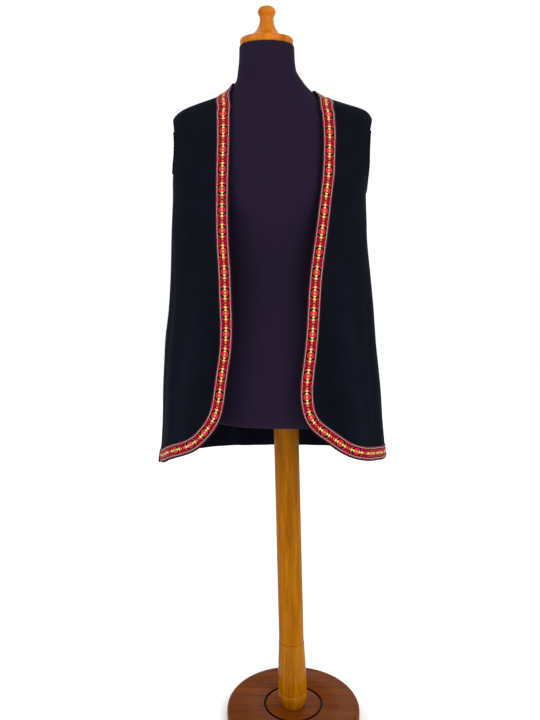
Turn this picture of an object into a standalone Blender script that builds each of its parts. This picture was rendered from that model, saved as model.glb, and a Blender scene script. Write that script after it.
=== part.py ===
"""Black sleeveless folk vest with woven ribbon edges, worn on a limbless dress form.

The vest is cut as two fronts and a back, and hangs open at the front. Woven ribbon runs down each
front edge, round the curved lower corner and along the hem, and round the back neck and back hem.
The dress form is a padded torso with a turned wooden neck cap, on a wooden pole and a round base.

Metres, +Z up, front towards -Y, origin on the floor at the centre of the base.
"""
import math

import bmesh
import bpy
import numpy as np
from mathutils import Vector

# Driving dimensions
VEST_CENTRE_X = -0.042      # the vest hangs this far to one side of the base's centre
CLOTH = 0.0020              # felted wool
SEAM_GAP = 0.00035          # from each panel's edge to its seam line
RIBBON_WIDTH = 0.0240
RIBBON_THICK = 0.0009
RIBBON_LIFT = 0.0008        # from the cloth to the ribbon's back
NECK_LIFT = 0.0011          # the same round the back neck, where the skin bends most
EDGE_MARGIN = 0.0015        # cloth left outside the ribbon at a free edge
ARMHOLE_TIP_Z = 1.170
UNDERARM_Z = 1.030
ARMHOLE_SCOOP = math.radians(17)
BACK_NECK_DROP = 0.030
LEFT_HEM_Z = 0.509          # the fronts' hems at the side seams
RIGHT_HEM_Z = 0.521
BACK_HEM_Z = 0.498          # the back's hem at its centre, and how far it rises to the sides
BACK_HEM_RISE = {-1: 0.008, 1: 0.020}
VENT_TOP_Z = 0.570          # the side seams are open below this
VENT_FULL_Z = 0.503         # they stand fully open at this height
VENT_SPREAD = 0.0060        # how far the back stands outside the front there

FORM_TOP_Z = 1.310
FORM_BOTTOM_Z = 0.600
POLE_RADIUS = 0.0243
SLEEVE_RADIUS = 0.0280      # at its widest, low down
SLEEVE_TOP_Z = 0.152
BASE_RADIUS = 0.130
BASE_THICK = 0.026
GAP = 0.0003

# Vest: height, half width left, half width right, depth in front, depth behind, squareness
VEST_RINGS = [
    (0.4800, 0.2152, 0.2195, 0.1655, 0.1485, 2.4),
    (0.5500, 0.2130, 0.2155, 0.1620, 0.1450, 2.4),
    (0.6000, 0.2105, 0.2110, 0.1585, 0.1410, 2.4),
    (0.6550, 0.2095, 0.2075, 0.1540, 0.1370, 2.4),
    (0.7000, 0.2075, 0.2030, 0.1500, 0.1330, 2.4),
    (0.7480, 0.2050, 0.1980, 0.1460, 0.1280, 2.4),
    (0.8100, 0.1980, 0.1940, 0.1430, 0.1215, 2.4),
    (0.8760, 0.1940, 0.1880, 0.1420, 0.1175, 2.4),
    (0.9500, 0.1920, 0.1810, 0.1440, 0.1170, 2.4),
    (1.0300, 0.1890, 0.1790, 0.1400, 0.1180, 2.4),
    (1.0900, 0.1930, 0.1900, 0.1260, 0.1165, 2.4),
    (1.1300, 0.1930, 0.1930, 0.1130, 0.1130, 2.4),
    (1.1670, 0.1890, 0.1910, 0.0955, 0.1065, 2.4),
    (1.1820, 0.1770, 0.1830, 0.0845, 0.1005, 2.3),
    (1.1980, 0.1435, 0.1420, 0.0705, 0.0930, 2.2),
    (1.2045, 0.1250, 0.1215, 0.0655, 0.0895, 2.15),
    (1.2098, 0.1110, 0.1055, 0.0622, 0.0862, 2.1),
    (1.2155, 0.0990, 0.0930, 0.0592, 0.0822, 2.1),
    (1.2220, 0.0890, 0.0830, 0.0568, 0.0775, 2.05),
    (1.2300, 0.0808, 0.0737, 0.0553, 0.0715, 2.0),
    (1.2395, 0.0742, 0.0650, 0.0547, 0.0645, 2.0),
    (1.2500, 0.0690, 0.0575, 0.0545, 0.0590, 2.0),
]

# Torso: height, half width left, half width right, depth in front, depth behind, squareness.
# The shoulders, between the arm ends and the neck, follow the vest's rings.
FORM_RINGS = [
    (0.6000, 0.1680, 0.1680, 0.1140, 0.1220, 2.2),
    (0.6200, 0.1700, 0.1700, 0.1160, 0.1250, 2.2),
    (0.6800, 0.1690, 0.1690, 0.1150, 0.1270, 2.2),
    (0.7400, 0.1580, 0.1580, 0.1110, 0.1170, 2.2),
    (0.8000, 0.1370, 0.1370, 0.1020, 0.0980, 2.2),
    (0.8650, 0.1220, 0.1220, 0.0920, 0.0860, 2.2),
    (0.9200, 0.1300, 0.1300, 0.0990, 0.0890, 2.2),
    (0.9800, 0.1460, 0.1460, 0.1130, 0.0980, 2.2),
    (1.0300, 0.1580, 0.1580, 0.1200, 0.1060, 2.3),
    (1.0700, 0.1680, 0.1680, 0.1190, 0.1100, 2.4),
    (1.1000, 0.1710, 0.1730, 0.1140, 0.1100, 2.4),
    (1.1270, 0.1720, 0.1750, 0.1060, 0.1075, 2.4),
    (1.1636, 0.1700, 0.1740, 0.0915, 0.1015, 2.4),
    (1.1790, 0.1640, 0.1700, 0.0800, 0.0955, 2.3),
    (1.2640, 0.0550, 0.0560, 0.0521, 0.0530, 2.0),
    (1.2850, 0.0530, 0.0535, 0.0525, 0.0525, 2.0),
    (1.3100, 0.0525, 0.0525, 0.0525, 0.0525, 2.0),
]
SEAT_DROP = 0.0035          # the shoulders lie this far under the vest's outer face
ARM_PLATE = 0.1690          # the plain arm ends are flat at this distance from the torso's centre

# Free edge of each front as seen from the front: distance from the vest's centre line, height.
# From the shoulder seam down the front edge, round the lower corner and along the hem.
LEFT_EDGE = [
    (0.0740, 1.2400), (0.0745, 1.2250), (0.0745, 1.2060), (0.0735, 1.1750), (0.0730, 1.1300),
    (0.0740, 1.0600), (0.0745, 0.9900), (0.0730, 0.9300), (0.0705, 0.8900), (0.0690, 0.8400),
    (0.0675, 0.7900), (0.0690, 0.7500), (0.0740, 0.7150), (0.0785, 0.6850), (0.0815, 0.6600),
    (0.0865, 0.6350), (0.0960, 0.6130), (0.1100, 0.5935), (0.1290, 0.5733), (0.1460, 0.5618),
    (0.1620, 0.5540), (0.1790, 0.5457), (0.1960, 0.5335), (0.2080, 0.5200),
]
RIGHT_EDGE = [
    (0.0790, 1.2255), (0.0810, 1.2130), (0.0840, 1.1950), (0.0870, 1.1650), (0.0890, 1.1250),
    (0.0868, 1.0700), (0.0802, 1.0100), (0.0740, 0.9600), (0.0671, 0.9100), (0.0625, 0.8700),
    (0.0600, 0.8300), (0.0573, 0.7800), (0.0533, 0.7400), (0.0486, 0.7050), (0.0465, 0.6750),
    (0.0484, 0.6500), (0.0560, 0.6250), (0.0712, 0.6050), (0.0918, 0.5895), (0.1120, 0.5735),
    (0.1340, 0.5585), (0.1560, 0.5490), (0.1770, 0.5428), (0.1980, 0.5362), (0.2120, 0.5290),
]


def curve(xs, ys, x):
    """Smooth curve through the points of a short table, without overshoot (monotone cubic)."""
    xs, ys = np.asarray(xs, float), np.asarray(ys, float)
    step = np.diff(xs)
    rise = np.diff(ys) / step
    slope = np.zeros_like(ys)
    same = rise[:-1] * rise[1:] > 0
    w1, w2 = 2 * step[1:] + step[:-1], step[1:] + 2 * step[:-1]
    safe0, safe1 = np.where(same, rise[:-1], 1.0), np.where(same, rise[1:], 1.0)
    slope[1:-1] = np.where(same, (w1 + w2) / (w1 / safe0 + w2 / safe1), 0.0)
    slope[0], slope[-1] = rise[0], rise[-1]
    x = np.clip(x, xs[0], xs[-1])
    i = np.clip(np.searchsorted(xs, x) - 1, 0, len(step) - 1)
    t = (x - xs[i]) / step[i]
    return ((2 * t**3 - 3 * t**2 + 1) * ys[i] + (t**3 - 2 * t**2 + t) * step[i] * slope[i]
            + (3 * t**2 - 2 * t**3) * ys[i + 1] + (t**3 - t**2) * step[i] * slope[i + 1])


class Shell:
    """A closed skin given by level rings. angle 0 is the front, +90 degrees the wearer's +X side;
    climb is the distance travelled up the side, from the lowest ring."""

    def __init__(self, rings, centre, relief):
        table = np.array(rings)
        self.centre, self.relief = centre, relief
        half = (table[:, 1] + table[:, 2]) / 2
        self.climb = np.concatenate([[0], np.cumsum(np.hypot(np.diff(table[:, 0]), np.diff(half)))])
        self.table = table

    def at_height(self, z):
        return np.interp(z, self.table[:, 0], self.climb)

    def height(self, climb):
        return float(curve(self.climb, self.table[:, 0], climb))

    def radius(self, angle, climb):
        z, left, right, front, back, n = (float(curve(self.climb, self.table[:, i], climb))
                                          for i in range(6))
        s, c = math.sin(angle), math.cos(angle)
        wide, deep = (right if s > 0 else left), (front if c > 0 else back)
        r = ((abs(s) / wide) ** n + (abs(c) / deep) ** n) ** (-1 / n)
        return r + self.relief(angle, z), z

    def point(self, angle, climb):
        r, z = self.radius(angle, climb)
        return Vector((self.centre(z) + r * math.sin(angle), -r * math.cos(angle), z))

    def frame(self, angle, climb):
        """Two tangents and the outward normal, read on the same panel's side of a seam."""
        da, dc = 0.002, 0.0005
        turn = (angle + math.pi / 2) % math.pi
        angle += max(1.5 * da - turn, 0.0) - max(1.5 * da - (math.pi - turn), 0.0)
        along = (self.point(angle + da, climb) - self.point(angle - da, climb)) / (2 * da)
        up = (self.point(angle, climb + dc) - self.point(angle, climb - dc)) / (2 * dc)
        return along, up, along.cross(up).normalized()


def soft_step(x):
    x = min(max(x, 0.0), 1.0)
    return x * x * (3 - 2 * x)


def vest_relief(angle, z):
    """Soft flutes that open towards the hem, none at the side seams, and the spread of the vents."""
    fall = min(max((0.92 - z) / 0.42, 0.0), 1.0) ** 1.5
    turn = (math.degrees(angle) + 360) % 360
    if 90 < turn < 270:
        window = math.sin(math.radians(turn - 90)) ** 2
        flute = 0.0045 * window * math.cos(math.radians(7 * (turn - 180)))
        near = math.exp(-((min(turn - 90, 270 - turn)) / 14) ** 2)
        spread = VENT_SPREAD * near * soft_step((VENT_TOP_Z - z) / (VENT_TOP_Z - VENT_FULL_Z))
        return fall * flute + spread
    off = turn if turn <= 90 else turn - 360
    return 0.0022 * fall * math.sin(math.radians(2 * abs(off))) ** 2 * math.cos(math.radians(5 * off))


def form_relief(angle, z):
    """The bust."""
    turn = (math.degrees(angle) + 180) % 360 - 180
    bust = math.exp(-((abs(turn) - 30) / 17) ** 2) * math.exp(-((z - 1.020) / 0.045) ** 2)
    return 0.0115 * bust


def form_centre(z):
    """The torso leans a little to one side; its rings stay level."""
    return -0.015 * min(z, 0.6) / 0.6 - 0.037 * max(0.0, min(z, 1.25) - 0.6) / 0.65


def shoulder_rings():
    """The torso's rings under the vest's shoulders, about the torso's own centre."""
    rings = []
    for z, left, right, front, back, n in VEST_RINGS:
        if z > 1.19:
            low = z - SEAT_DROP
            shift = VEST_CENTRE_X - form_centre(low)
            rings.append((low, left - shift - 0.0016, right + shift - 0.0016, front - 0.0038, back - 0.0058, n))
    return rings


vest = Shell(VEST_RINGS, lambda z: VEST_CENTRE_X, vest_relief)
form = Shell(sorted(FORM_RINGS + shoulder_rings()), form_centre, form_relief)


def seam_angle(line, side, climb):
    """The angle of a panel's edge beside a seam line, a fixed distance from it. side is -1 or +1."""
    r, _ = vest.radius(line, climb)
    return line + side * SEAM_GAP / r


def shares(steps, closer=1.0):
    """Even shares of a length, or shares that lie closer together towards its end."""
    return 1 - (1 - np.linspace(0, 1, steps + 1)) ** closer


def spread(shell, path, places):
    """A path of (angle, climb) resampled at shares of its length on the skin."""
    fine = []
    for (a0, c0), (a1, c1) in zip(path, path[1:]):
        fine += [(a0 + (a1 - a0) * k / 6, c0 + (c1 - c0) * k / 6) for k in range(6)]
    fine.append(path[-1])
    spots = [shell.point(*p) for p in fine]
    run = np.concatenate([[0], np.cumsum([(b - a).length for a, b in zip(spots, spots[1:])])])
    wanted = np.asarray(places) * run[-1]
    fine = np.array(fine)
    return list(zip(np.interp(wanted, run, fine[:, 0]), np.interp(wanted, run, fine[:, 1])))


def edge_path(table, sign):
    """A front's free edge as (angle, climb), from the shoulder seam to the bottom of the side seam."""
    path = []
    quarter = math.pi / 2
    marks = np.concatenate([[0], np.cumsum(np.hypot(*np.diff(np.array(table), axis=0).T))])
    for s in np.linspace(0, marks[-1], 90):
        x = float(curve(marks, [row[0] for row in table], s))
        climb = float(vest.at_height(float(curve(marks, [row[1] for row in table], s))))
        low, high = 0.0, quarter
        for _ in range(40):
            mid = (low + high) / 2
            r, _ = vest.radius(sign * mid, climb)
            low, high = (mid, high) if r * math.sin(mid) < x else (low, mid)
        path.append([low, climb])
    path[0][0] = seam_angle(sign * quarter, -sign, path[0][1]) * sign
    foot = float(vest.at_height(side_hem(sign)))
    path.append([seam_angle(sign * quarter, -sign, foot) * sign, foot])
    angles, climbs = np.array(path).T
    smooth = np.array([0.25, 0.5, 0.25])
    for _ in range(2):
        angles[1:-1] = np.convolve(angles, smooth, "valid")
        climbs[1:-1] = np.convolve(climbs, smooth, "valid")
    return [(sign * a, c) for a, c in zip(angles, climbs)]


def inset(path, distance, side):
    """The path moved across the skin by a distance, then cut or run on to the angles it ended at."""
    moved = []
    for i, (angle, climb) in enumerate(path):
        before, after = path[max(i - 1, 0)], path[min(i + 1, len(path) - 1)]
        tangent = (vest.point(*after) - vest.point(*before)).normalized()
        along, up, normal = vest.frame(angle, climb)
        step = normal.cross(tangent) * side * distance
        m = np.array([[along.dot(along), along.dot(up)], [along.dot(up), up.dot(up)]])
        da, dc = np.linalg.solve(m, np.array([step.dot(along), step.dot(up)]))
        moved.append((angle + da, climb + dc))
    return run_to(run_to(moved, path[-1][0])[::-1], path[0][0])[::-1]


def run_to(path, angle):
    """Cut a path where its last part passes an angle, or extend its last stretch to it."""
    centre = path[len(path) // 2][0]
    sign = 1 if angle > centre else -1
    keep = list(path)
    while len(keep) > 2 and (keep[-1][0] - angle) * sign > 0 and (keep[-2][0] - angle) * sign > 0:
        keep.pop()
    (a0, c0), (a1, c1) = keep[-2], keep[-1]
    if abs(a1 - a0) > 1e-9:
        t = min((angle - a0) / (a1 - a0), 3.0)
        climb = c0 + (c1 - c0) * t
        line = round(angle / (math.pi / 2)) * math.pi / 2
        keep[-1] = (seam_angle(line, 1 if angle > line else -1, climb), climb)
    return keep


def grid_object(name, columns, rows, place, thickness, outward, material, collection):
    """A grid laid on the skin by place(u, v), thickened inwards or outwards."""
    mesh = bpy.data.meshes.new(name)
    bm = bmesh.new()
    bmesh.ops.create_grid(bm, x_segments=columns, y_segments=rows, size=0.5)
    for vert in bm.verts:
        vert.co = place(vert.co.x + 0.5, vert.co.y + 0.5)
    bm.normal_update()
    middle = sum((f.normal.dot(f.calc_center_median() - Vector((VEST_CENTRE_X, 0, f.calc_center_median().z)))
                  for f in bm.faces), 0.0)
    if middle < 0:
        bmesh.ops.reverse_faces(bm, faces=bm.faces)
    bm.to_mesh(mesh)
    bm.free()
    mesh.shade_smooth()
    item = bpy.data.objects.new(name, mesh)
    collection.objects.link(item)
    item.data.materials.append(material)
    solid = item.modifiers.new("Thickness", "SOLIDIFY")
    solid.thickness = thickness
    solid.offset = 1 if outward else -1
    return item


class Pattern:
    """The vest's front or back laid out flat as a cutter draws it: across from the centre line, and
    up along the centre line. The shoulder seams slope in it as they do on cloth."""

    def __init__(self, behind):
        self.behind = behind
        self.climbs = np.linspace(0, vest.climb[-1], 260)
        table = vest.table
        wide = curve(vest.climb, (table[:, 1] + table[:, 2]) / 2, self.climbs)
        deep = curve(vest.climb, table[:, 4 if behind else 3], self.climbs)
        z = curve(vest.climb, table[:, 0], self.climbs)
        self.half = np.sqrt((wide**2 + deep**2) / 2) * math.pi / 2
        self.up = np.concatenate([[0], np.cumsum(np.hypot(np.diff(z), np.diff(deep)))])

    def lay(self, angle, climb):
        turn = angle - math.pi if self.behind else angle
        return (np.interp(climb, self.climbs, self.half) * turn / (math.pi / 2),
                np.interp(climb, self.climbs, self.up))

    def lift(self, across, up):
        climb = float(np.interp(up, self.up, self.climbs))
        turn = across / np.interp(climb, self.climbs, self.half) * math.pi / 2
        return (turn + math.pi if self.behind else turn), climb


def patch(bottom, top, left, right, behind=False):
    """Coons patch between four paths, blended on the flat pattern. place(u, v) takes grid steps."""
    pattern = Pattern(behind)
    bottom, top, left, right = ([pattern.lay(*spot) for spot in path] for path in (bottom, top, left, right))
    columns, rows = len(bottom) - 1, len(left) - 1

    def place(u, v):
        i, j = round(u * columns), round(v * rows)
        out = []
        for k in (0, 1):
            across = (1 - u) * left[j][k] + u * right[j][k]
            upward = (1 - v) * bottom[i][k] + v * top[i][k]
            corners = ((1 - u) * (1 - v) * bottom[0][k] + u * (1 - v) * bottom[-1][k]
                       + (1 - u) * v * top[0][k] + u * v * top[-1][k])
            out.append(across + upward - corners)
        return vest.point(*pattern.lift(*out))
    return place


def armhole(line, side, scoop):
    """From the underarm to the shoulder tip, square to both seams."""
    low, high = vest.at_height(UNDERARM_Z), vest.at_height(ARMHOLE_TIP_Z)
    path = []
    for k in range(25):
        climb = (low + high) / 2 - (high - low) / 2 * math.cos(math.pi * k / 24)
        path.append((seam_angle(line, side, climb) + side * scoop * math.sin(math.pi * k / 24), climb))
    return path


def seam_line(line, side, start, end, places):
    """A panel's edge along a seam, between two climbs."""
    climbs = [start + (end - start) * k / 12 for k in range(13)]
    return spread(vest, [(seam_angle(line, side, c), c) for c in climbs], places)


def side_line(line, side, hem_z, seam_steps, hole_steps):
    """Side seam, then armhole, with a grid line exactly at the underarm."""
    seam = seam_line(line, side, vest.at_height(hem_z), vest.at_height(UNDERARM_Z), shares(seam_steps))
    return seam[:-1] + spread(vest, armhole(line, side, ARMHOLE_SCOOP), shares(hole_steps, 1.6))


def make_front(name, edge, sign, material, collection):
    line = sign * math.pi / 2
    corner = corner_index(edge)
    columns, seam_steps, hole_steps = 12, 16, 14
    below = 0.68
    places = np.concatenate([below * shares(seam_steps)[:-1], below + (1 - below) * shares(hole_steps, 1.6)])
    left = spread(vest, edge[:corner + 1][::-1], places)
    bottom = spread(vest, edge[corner:], shares(columns))
    right = side_line(line, -sign, side_hem(sign), seam_steps, hole_steps)
    top = seam_line(line, -sign, edge[0][1], vest.at_height(ARMHOLE_TIP_Z), shares(columns))
    grid_object(name, columns, len(left) - 1, patch(bottom, top, left, right), CLOTH, False,
                material, collection)


def side_hem(sign):
    return RIGHT_HEM_Z if sign > 0 else LEFT_HEM_Z


def corner_index(edge):
    """The middle of the rounded lower corner: where the edge runs at 45 degrees on the skin."""
    spots = [vest.point(*p) for p in edge]
    for i in range(len(edge) // 3, len(edge) - 2):
        run = spots[i + 2] - spots[i - 2]
        if math.hypot(run.x, run.y) > abs(run.z):
            return i
    return len(edge) // 2


def make_back(name, material, collection):
    right, left = math.pi / 2, 3 * math.pi / 2
    seam_steps, hole_steps, shoulder, neck_columns = 13, 15, 9, 16
    bottom = spread(vest, back_hem(), shares(2 * shoulder + neck_columns))
    tip = vest.at_height(ARMHOLE_TIP_Z)
    ends = back_neck_ends()
    on_right = seam_line(right, 1, tip, ends[0], shares(shoulder, 1.5))
    on_left = seam_line(left, -1, ends[1], tip, 1 - shares(shoulder, 1.5)[::-1])
    middle = spread(vest, back_neck(), shares(neck_columns))
    top = on_right[:-1] + middle + on_left[1:]
    near = side_line(right, 1, BACK_HEM_Z + BACK_HEM_RISE[1], seam_steps, hole_steps)
    far = side_line(left, -1, BACK_HEM_Z + BACK_HEM_RISE[-1], seam_steps, hole_steps)
    grid_object(name, len(bottom) - 1, len(near) - 1, patch(bottom, top, near, far, behind=True), CLOTH, False,
                material, collection)


def back_neck_ends():
    return vest.at_height(RIGHT_EDGE[0][1]), vest.at_height(LEFT_EDGE[0][1])


def back_hem():
    """The back hem from the right side seam to the left one, a little higher at the sides."""
    path = []
    for k in range(49):
        off = 1 - k / 24
        rise = BACK_HEM_RISE[1 if off > 0 else -1] * abs(off) ** 2.5
        path.append([math.pi * (1 - off / 2), float(vest.at_height(BACK_HEM_Z + rise))])
    path[0][0] = seam_angle(math.pi / 2, 1, path[0][1])
    path[-1][0] = seam_angle(3 * math.pi / 2, -1, path[-1][1])
    return [tuple(spot) for spot in path]


def back_neck():
    """The back neckline from the right shoulder seam to the left one."""
    start, end = back_neck_ends()
    right, left = seam_angle(math.pi / 2, 1, start), seam_angle(3 * math.pi / 2, -1, end)
    path = []
    for k in range(33):
        t = k / 32
        path.append((right + (left - right) * t,
                     start + (end - start) * t - BACK_NECK_DROP * math.sin(math.pi * t) ** 1.2))
    return path


def make_ribbon(name, path, side, columns, places, material, collection, lift=RIBBON_LIFT):
    """A strip on the cloth between two insets of a free edge, lifted off it and thickened outwards."""
    steps = len(places) - 1
    outer = spread(vest, inset(path, EDGE_MARGIN, side), places)
    inner = spread(vest, inset(path, EDGE_MARGIN + RIBBON_WIDTH, side), places)

    def place(u, v):
        j = round(v * steps)
        angle = (1 - u) * outer[j][0] + u * inner[j][0]
        climb = (1 - u) * outer[j][1] + u * inner[j][1]
        return vest.point(angle, climb) + vest.frame(angle, climb)[2] * lift
    grid_object(name, columns, steps, place, RIBBON_THICK, True, material, collection)


def make_torso(name, material, collection):
    """A sphere whose rows are laid on the torso's rings, flat below and above."""
    rows = [(FORM_BOTTOM_Z, 0.5), (FORM_BOTTOM_Z, 0.90), (FORM_BOTTOM_Z + 0.0015, 0.965),
            (FORM_BOTTOM_Z + 0.007, 0.995)]
    levels = [form.at_height(z) for z in (FORM_BOTTOM_Z + 0.02, 1.13, 1.26, FORM_TOP_Z - 0.006)]
    climbs = np.concatenate([np.linspace(levels[0], levels[1], 15)[:-1],
                             np.linspace(levels[1], levels[2], 19)[:-1],
                             np.linspace(levels[2], levels[3], 4)])
    rows += [(form.height(c), 1.0) for c in climbs]
    rows += [(FORM_TOP_Z - 0.0015, 0.985), (FORM_TOP_Z, 0.93), (FORM_TOP_Z, 0.5)]
    mesh = bpy.data.meshes.new(name)
    bm = bmesh.new()
    bmesh.ops.create_uvsphere(bm, u_segments=36, v_segments=len(rows) + 1, radius=1.0)
    for vert in bm.verts:
        row = round((math.pi - math.acos(min(max(vert.co.z, -1), 1))) / math.pi * (len(rows) + 1))
        if row == 0 or row == len(rows) + 1:
            z = FORM_BOTTOM_Z if row == 0 else FORM_TOP_Z
            vert.co = (form_centre(z), 0, z)
            continue
        z, shrink = rows[row - 1]
        angle = math.atan2(vert.co.x, -vert.co.y)
        spot = form.point(angle, climbs[row - 5] if 0 <= row - 5 < len(climbs) else form.at_height(z))
        off = (spot.x - form_centre(z)) * shrink
        if z > 1.0:
            off = min(max(off, -ARM_PLATE), ARM_PLATE)
        vert.co = (form_centre(z) + off, spot.y * shrink, z)
    bm.normal_update()
    bm.to_mesh(mesh)
    bm.free()
    mesh.shade_smooth()
    item = bpy.data.objects.new(name, mesh)
    collection.objects.link(item)
    item.data.materials.append(material)


def make_turned(name, profile, steps, material, collection, lean=True):
    """A turned piece: the profile, from the axis at the top to the axis at the foot, spun round."""
    bm = bmesh.new()
    points = [bm.verts.new((r, 0, z)) for r, z in profile]
    lines = [bm.edges.new(pair) for pair in zip(points, points[1:])]
    bmesh.ops.spin(bm, geom=points + lines, axis=(0, 0, 1), cent=(0, 0, 0), angle=2 * math.pi,
                   steps=steps, use_merge=True)
    bmesh.ops.remove_doubles(bm, verts=bm.verts, dist=0.00001)
    bmesh.ops.recalc_face_normals(bm, faces=bm.faces)
    if lean:
        for vert in bm.verts:
            vert.co.x += form_centre(vert.co.z)
    mesh = bpy.data.meshes.new(name)
    bm.to_mesh(mesh)
    bm.free()
    mesh.shade_smooth()
    mesh.set_sharp_from_angle(angle=math.radians(40))
    item = bpy.data.objects.new(name, mesh)
    collection.objects.link(item)
    item.data.materials.append(material)


def finish(name, colour, roughness, metallic=0.0):
    material = bpy.data.materials.new(name)
    material.use_nodes = True
    shader = material.node_tree.nodes["Principled BSDF"]
    shader.inputs["Base Color"].default_value = (*colour, 1)
    shader.inputs["Roughness"].default_value = roughness
    shader.inputs["Metallic"].default_value = metallic
    return material


def main():
    for old in list(bpy.data.objects):
        bpy.data.objects.remove(old, do_unlink=True)
    collection = bpy.data.collections.new("Folk vest on a dress form")
    bpy.context.scene.collection.children.link(collection)

    wool = finish("Black felted wool", (0.006, 0.007, 0.014), 0.95)
    ribbon = finish("Woven ribbon", (0.30, 0.02, 0.05), 0.8)
    jersey = finish("Navy jersey", (0.022, 0.017, 0.035), 0.9)
    cap_wood = finish("Varnished neck cap wood", (0.50, 0.12, 0.01), 0.3)
    pole_wood = finish("Varnished pole wood", (0.42, 0.14, 0.01), 0.35)
    base_wood = finish("Brown base wood", (0.15, 0.04, 0.01), 0.45)

    left_edge, right_edge = edge_path(LEFT_EDGE, -1), edge_path(RIGHT_EDGE, 1)
    make_front("vest_front_left", left_edge, -1, wool, collection)
    make_front("vest_front_right", right_edge, 1, wool, collection)
    make_back("vest_back", wool, collection)

    closer_at_neck = 1 - shares(78, 1.3)[::-1]
    make_ribbon("trim_front_left", left_edge, -1, 2, closer_at_neck, ribbon, collection)
    make_ribbon("trim_front_right", right_edge, 1, 2, closer_at_neck, ribbon, collection)
    make_ribbon("trim_back_neck", back_neck(), -1, 3, shares(28), ribbon, collection, NECK_LIFT)
    make_ribbon("trim_back_hem", back_hem(), 1, 2, shares(46), ribbon, collection)

    make_torso("form_torso", jersey, collection)
    z = FORM_TOP_Z + GAP
    make_turned("form_neck_cap", [
        (0, z + 0.0757), (0.0070, z + 0.0750), (0.0130, z + 0.0722), (0.0165, z + 0.0675), (0.0172, z + 0.0625),
        (0.0155, z + 0.0575), (0.0137, z + 0.0540), (0.0136, z + 0.0480), (0.0150, z + 0.0400),
        (0.0190, z + 0.0310), (0.0265, z + 0.0225), (0.0370, z + 0.0160), (0.0480, z + 0.0135),
        (0.0505, z + 0.0120), (0.0515, z + 0.0085), (0.0512, z + 0.0035), (0.0495, z), (0, z)],
        32, cap_wood, collection)
    make_turned("stand_pole", [
        (0, FORM_BOTTOM_Z - GAP), (POLE_RADIUS, FORM_BOTTOM_Z - GAP), (POLE_RADIUS, 0.45),
        (POLE_RADIUS, 0.30), (POLE_RADIUS, SLEEVE_TOP_Z + GAP), (0, SLEEVE_TOP_Z + GAP)],
        32, pole_wood, collection)
    make_turned("stand_sleeve", [
        (0, SLEEVE_TOP_Z), (SLEEVE_RADIUS - 0.0042, SLEEVE_TOP_Z), (SLEEVE_RADIUS - 0.0032, SLEEVE_TOP_Z - 0.0010),
        (SLEEVE_RADIUS - 0.0012, 0.110), (SLEEVE_RADIUS - 0.0002, 0.075), (SLEEVE_RADIUS, 0.052),
        (SLEEVE_RADIUS - 0.0006, 0.044), (SLEEVE_RADIUS - 0.0020, 0.037), (SLEEVE_RADIUS - 0.0038, 0.031),
        (SLEEVE_RADIUS - 0.0052, BASE_THICK + GAP), (0, BASE_THICK + GAP)], 32, pole_wood, collection)
    t, r = BASE_THICK, BASE_RADIUS
    make_turned("stand_base", [
        (0, t), (0.0530, t), (0.0537, t - 0.0025), (0.0573, t - 0.0025), (0.0580, t), (r - 0.008, t),
        (r - 0.003, t - 0.0015), (r, t - 0.006), (r, 0.004), (r - 0.002, 0.0), (0, 0)],
        48, base_wood, collection, lean=False)


main()
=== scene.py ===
"""Long black folk vest with woven ribbon edges, hung on a limbless dress form.

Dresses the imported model: felted wool panels, woven ribbon, jersey over the padded torso and turned,
varnished wood, with a plain pale studio round them. Metres, +Z up, the open front towards -Y.
"""
import math
from functools import partial

import bmesh
import bpy
import numpy as np
from bpy.props import FloatProperty, FloatVectorProperty, IntProperty, PointerProperty
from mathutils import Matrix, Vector


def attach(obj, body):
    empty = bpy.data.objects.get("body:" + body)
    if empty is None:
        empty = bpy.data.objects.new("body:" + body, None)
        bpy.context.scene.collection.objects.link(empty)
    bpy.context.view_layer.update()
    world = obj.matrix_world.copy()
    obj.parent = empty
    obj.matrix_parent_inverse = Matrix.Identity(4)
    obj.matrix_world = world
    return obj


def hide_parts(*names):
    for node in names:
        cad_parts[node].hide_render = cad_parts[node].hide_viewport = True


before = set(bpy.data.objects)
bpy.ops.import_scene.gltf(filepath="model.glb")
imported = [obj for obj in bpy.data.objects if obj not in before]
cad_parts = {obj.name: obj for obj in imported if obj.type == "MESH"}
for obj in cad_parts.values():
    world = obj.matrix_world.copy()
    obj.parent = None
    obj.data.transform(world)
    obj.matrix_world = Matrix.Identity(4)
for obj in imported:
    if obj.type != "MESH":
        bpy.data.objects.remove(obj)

bl_info = {
    "name": "Folk Vest on a Dress Form",
    "version": (1, 0, 0),
    "blender": (4, 5, 0),
    "location": "3D View > Sidebar > Folk Vest",
    "description": "Makes a long folk vest with woven ribbon edges on a limbless dress form",
    "category": "Add Mesh",
}

# How the vest hangs, in metres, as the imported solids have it
VEST_CENTRE_X = -0.042
RIBBON_MARGIN = 0.0015
ARMHOLE_TIP_Z = 1.170
UNDERARM_Z = 1.030
ARMHOLE_SCOOP = math.radians(17)
BACK_NECK_DROP = 0.030
LEFT_HEM_Z = 0.509
RIGHT_HEM_Z = 0.521
BACK_HEM_Z = 0.498
BACK_HEM_RISE = {-1: 0.008, 1: 0.020}
VENT_TOP_Z = 0.570
VENT_FULL_Z = 0.503
VENT_SPREAD = 0.0060
SEAT_DROP = 0.0035
FORM_TOP_Z = 1.310
FORM_BOTTOM_Z = 0.600
ARM_PLATE = 0.1690           # the flat ends where arms would be fixed, from the torso's centre
GAP = 0.0003
SEAM_GAP = 0.00006           # half the gap between two panels at a seam
SKIN_SAMPLES = 2400
EDGE_SAMPLES = 90
SEAM_STEPS = 100             # grid rows of a panel along its side seam
HOLE_POWER = 1.25            # how much closer grid lines lie towards the shoulder tip
FRONT_POWER = 1.35           # and towards the side seam and the shoulder tip on a front
BACK_POWER = 1.2             # and towards the sides and the neck on the back

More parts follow.
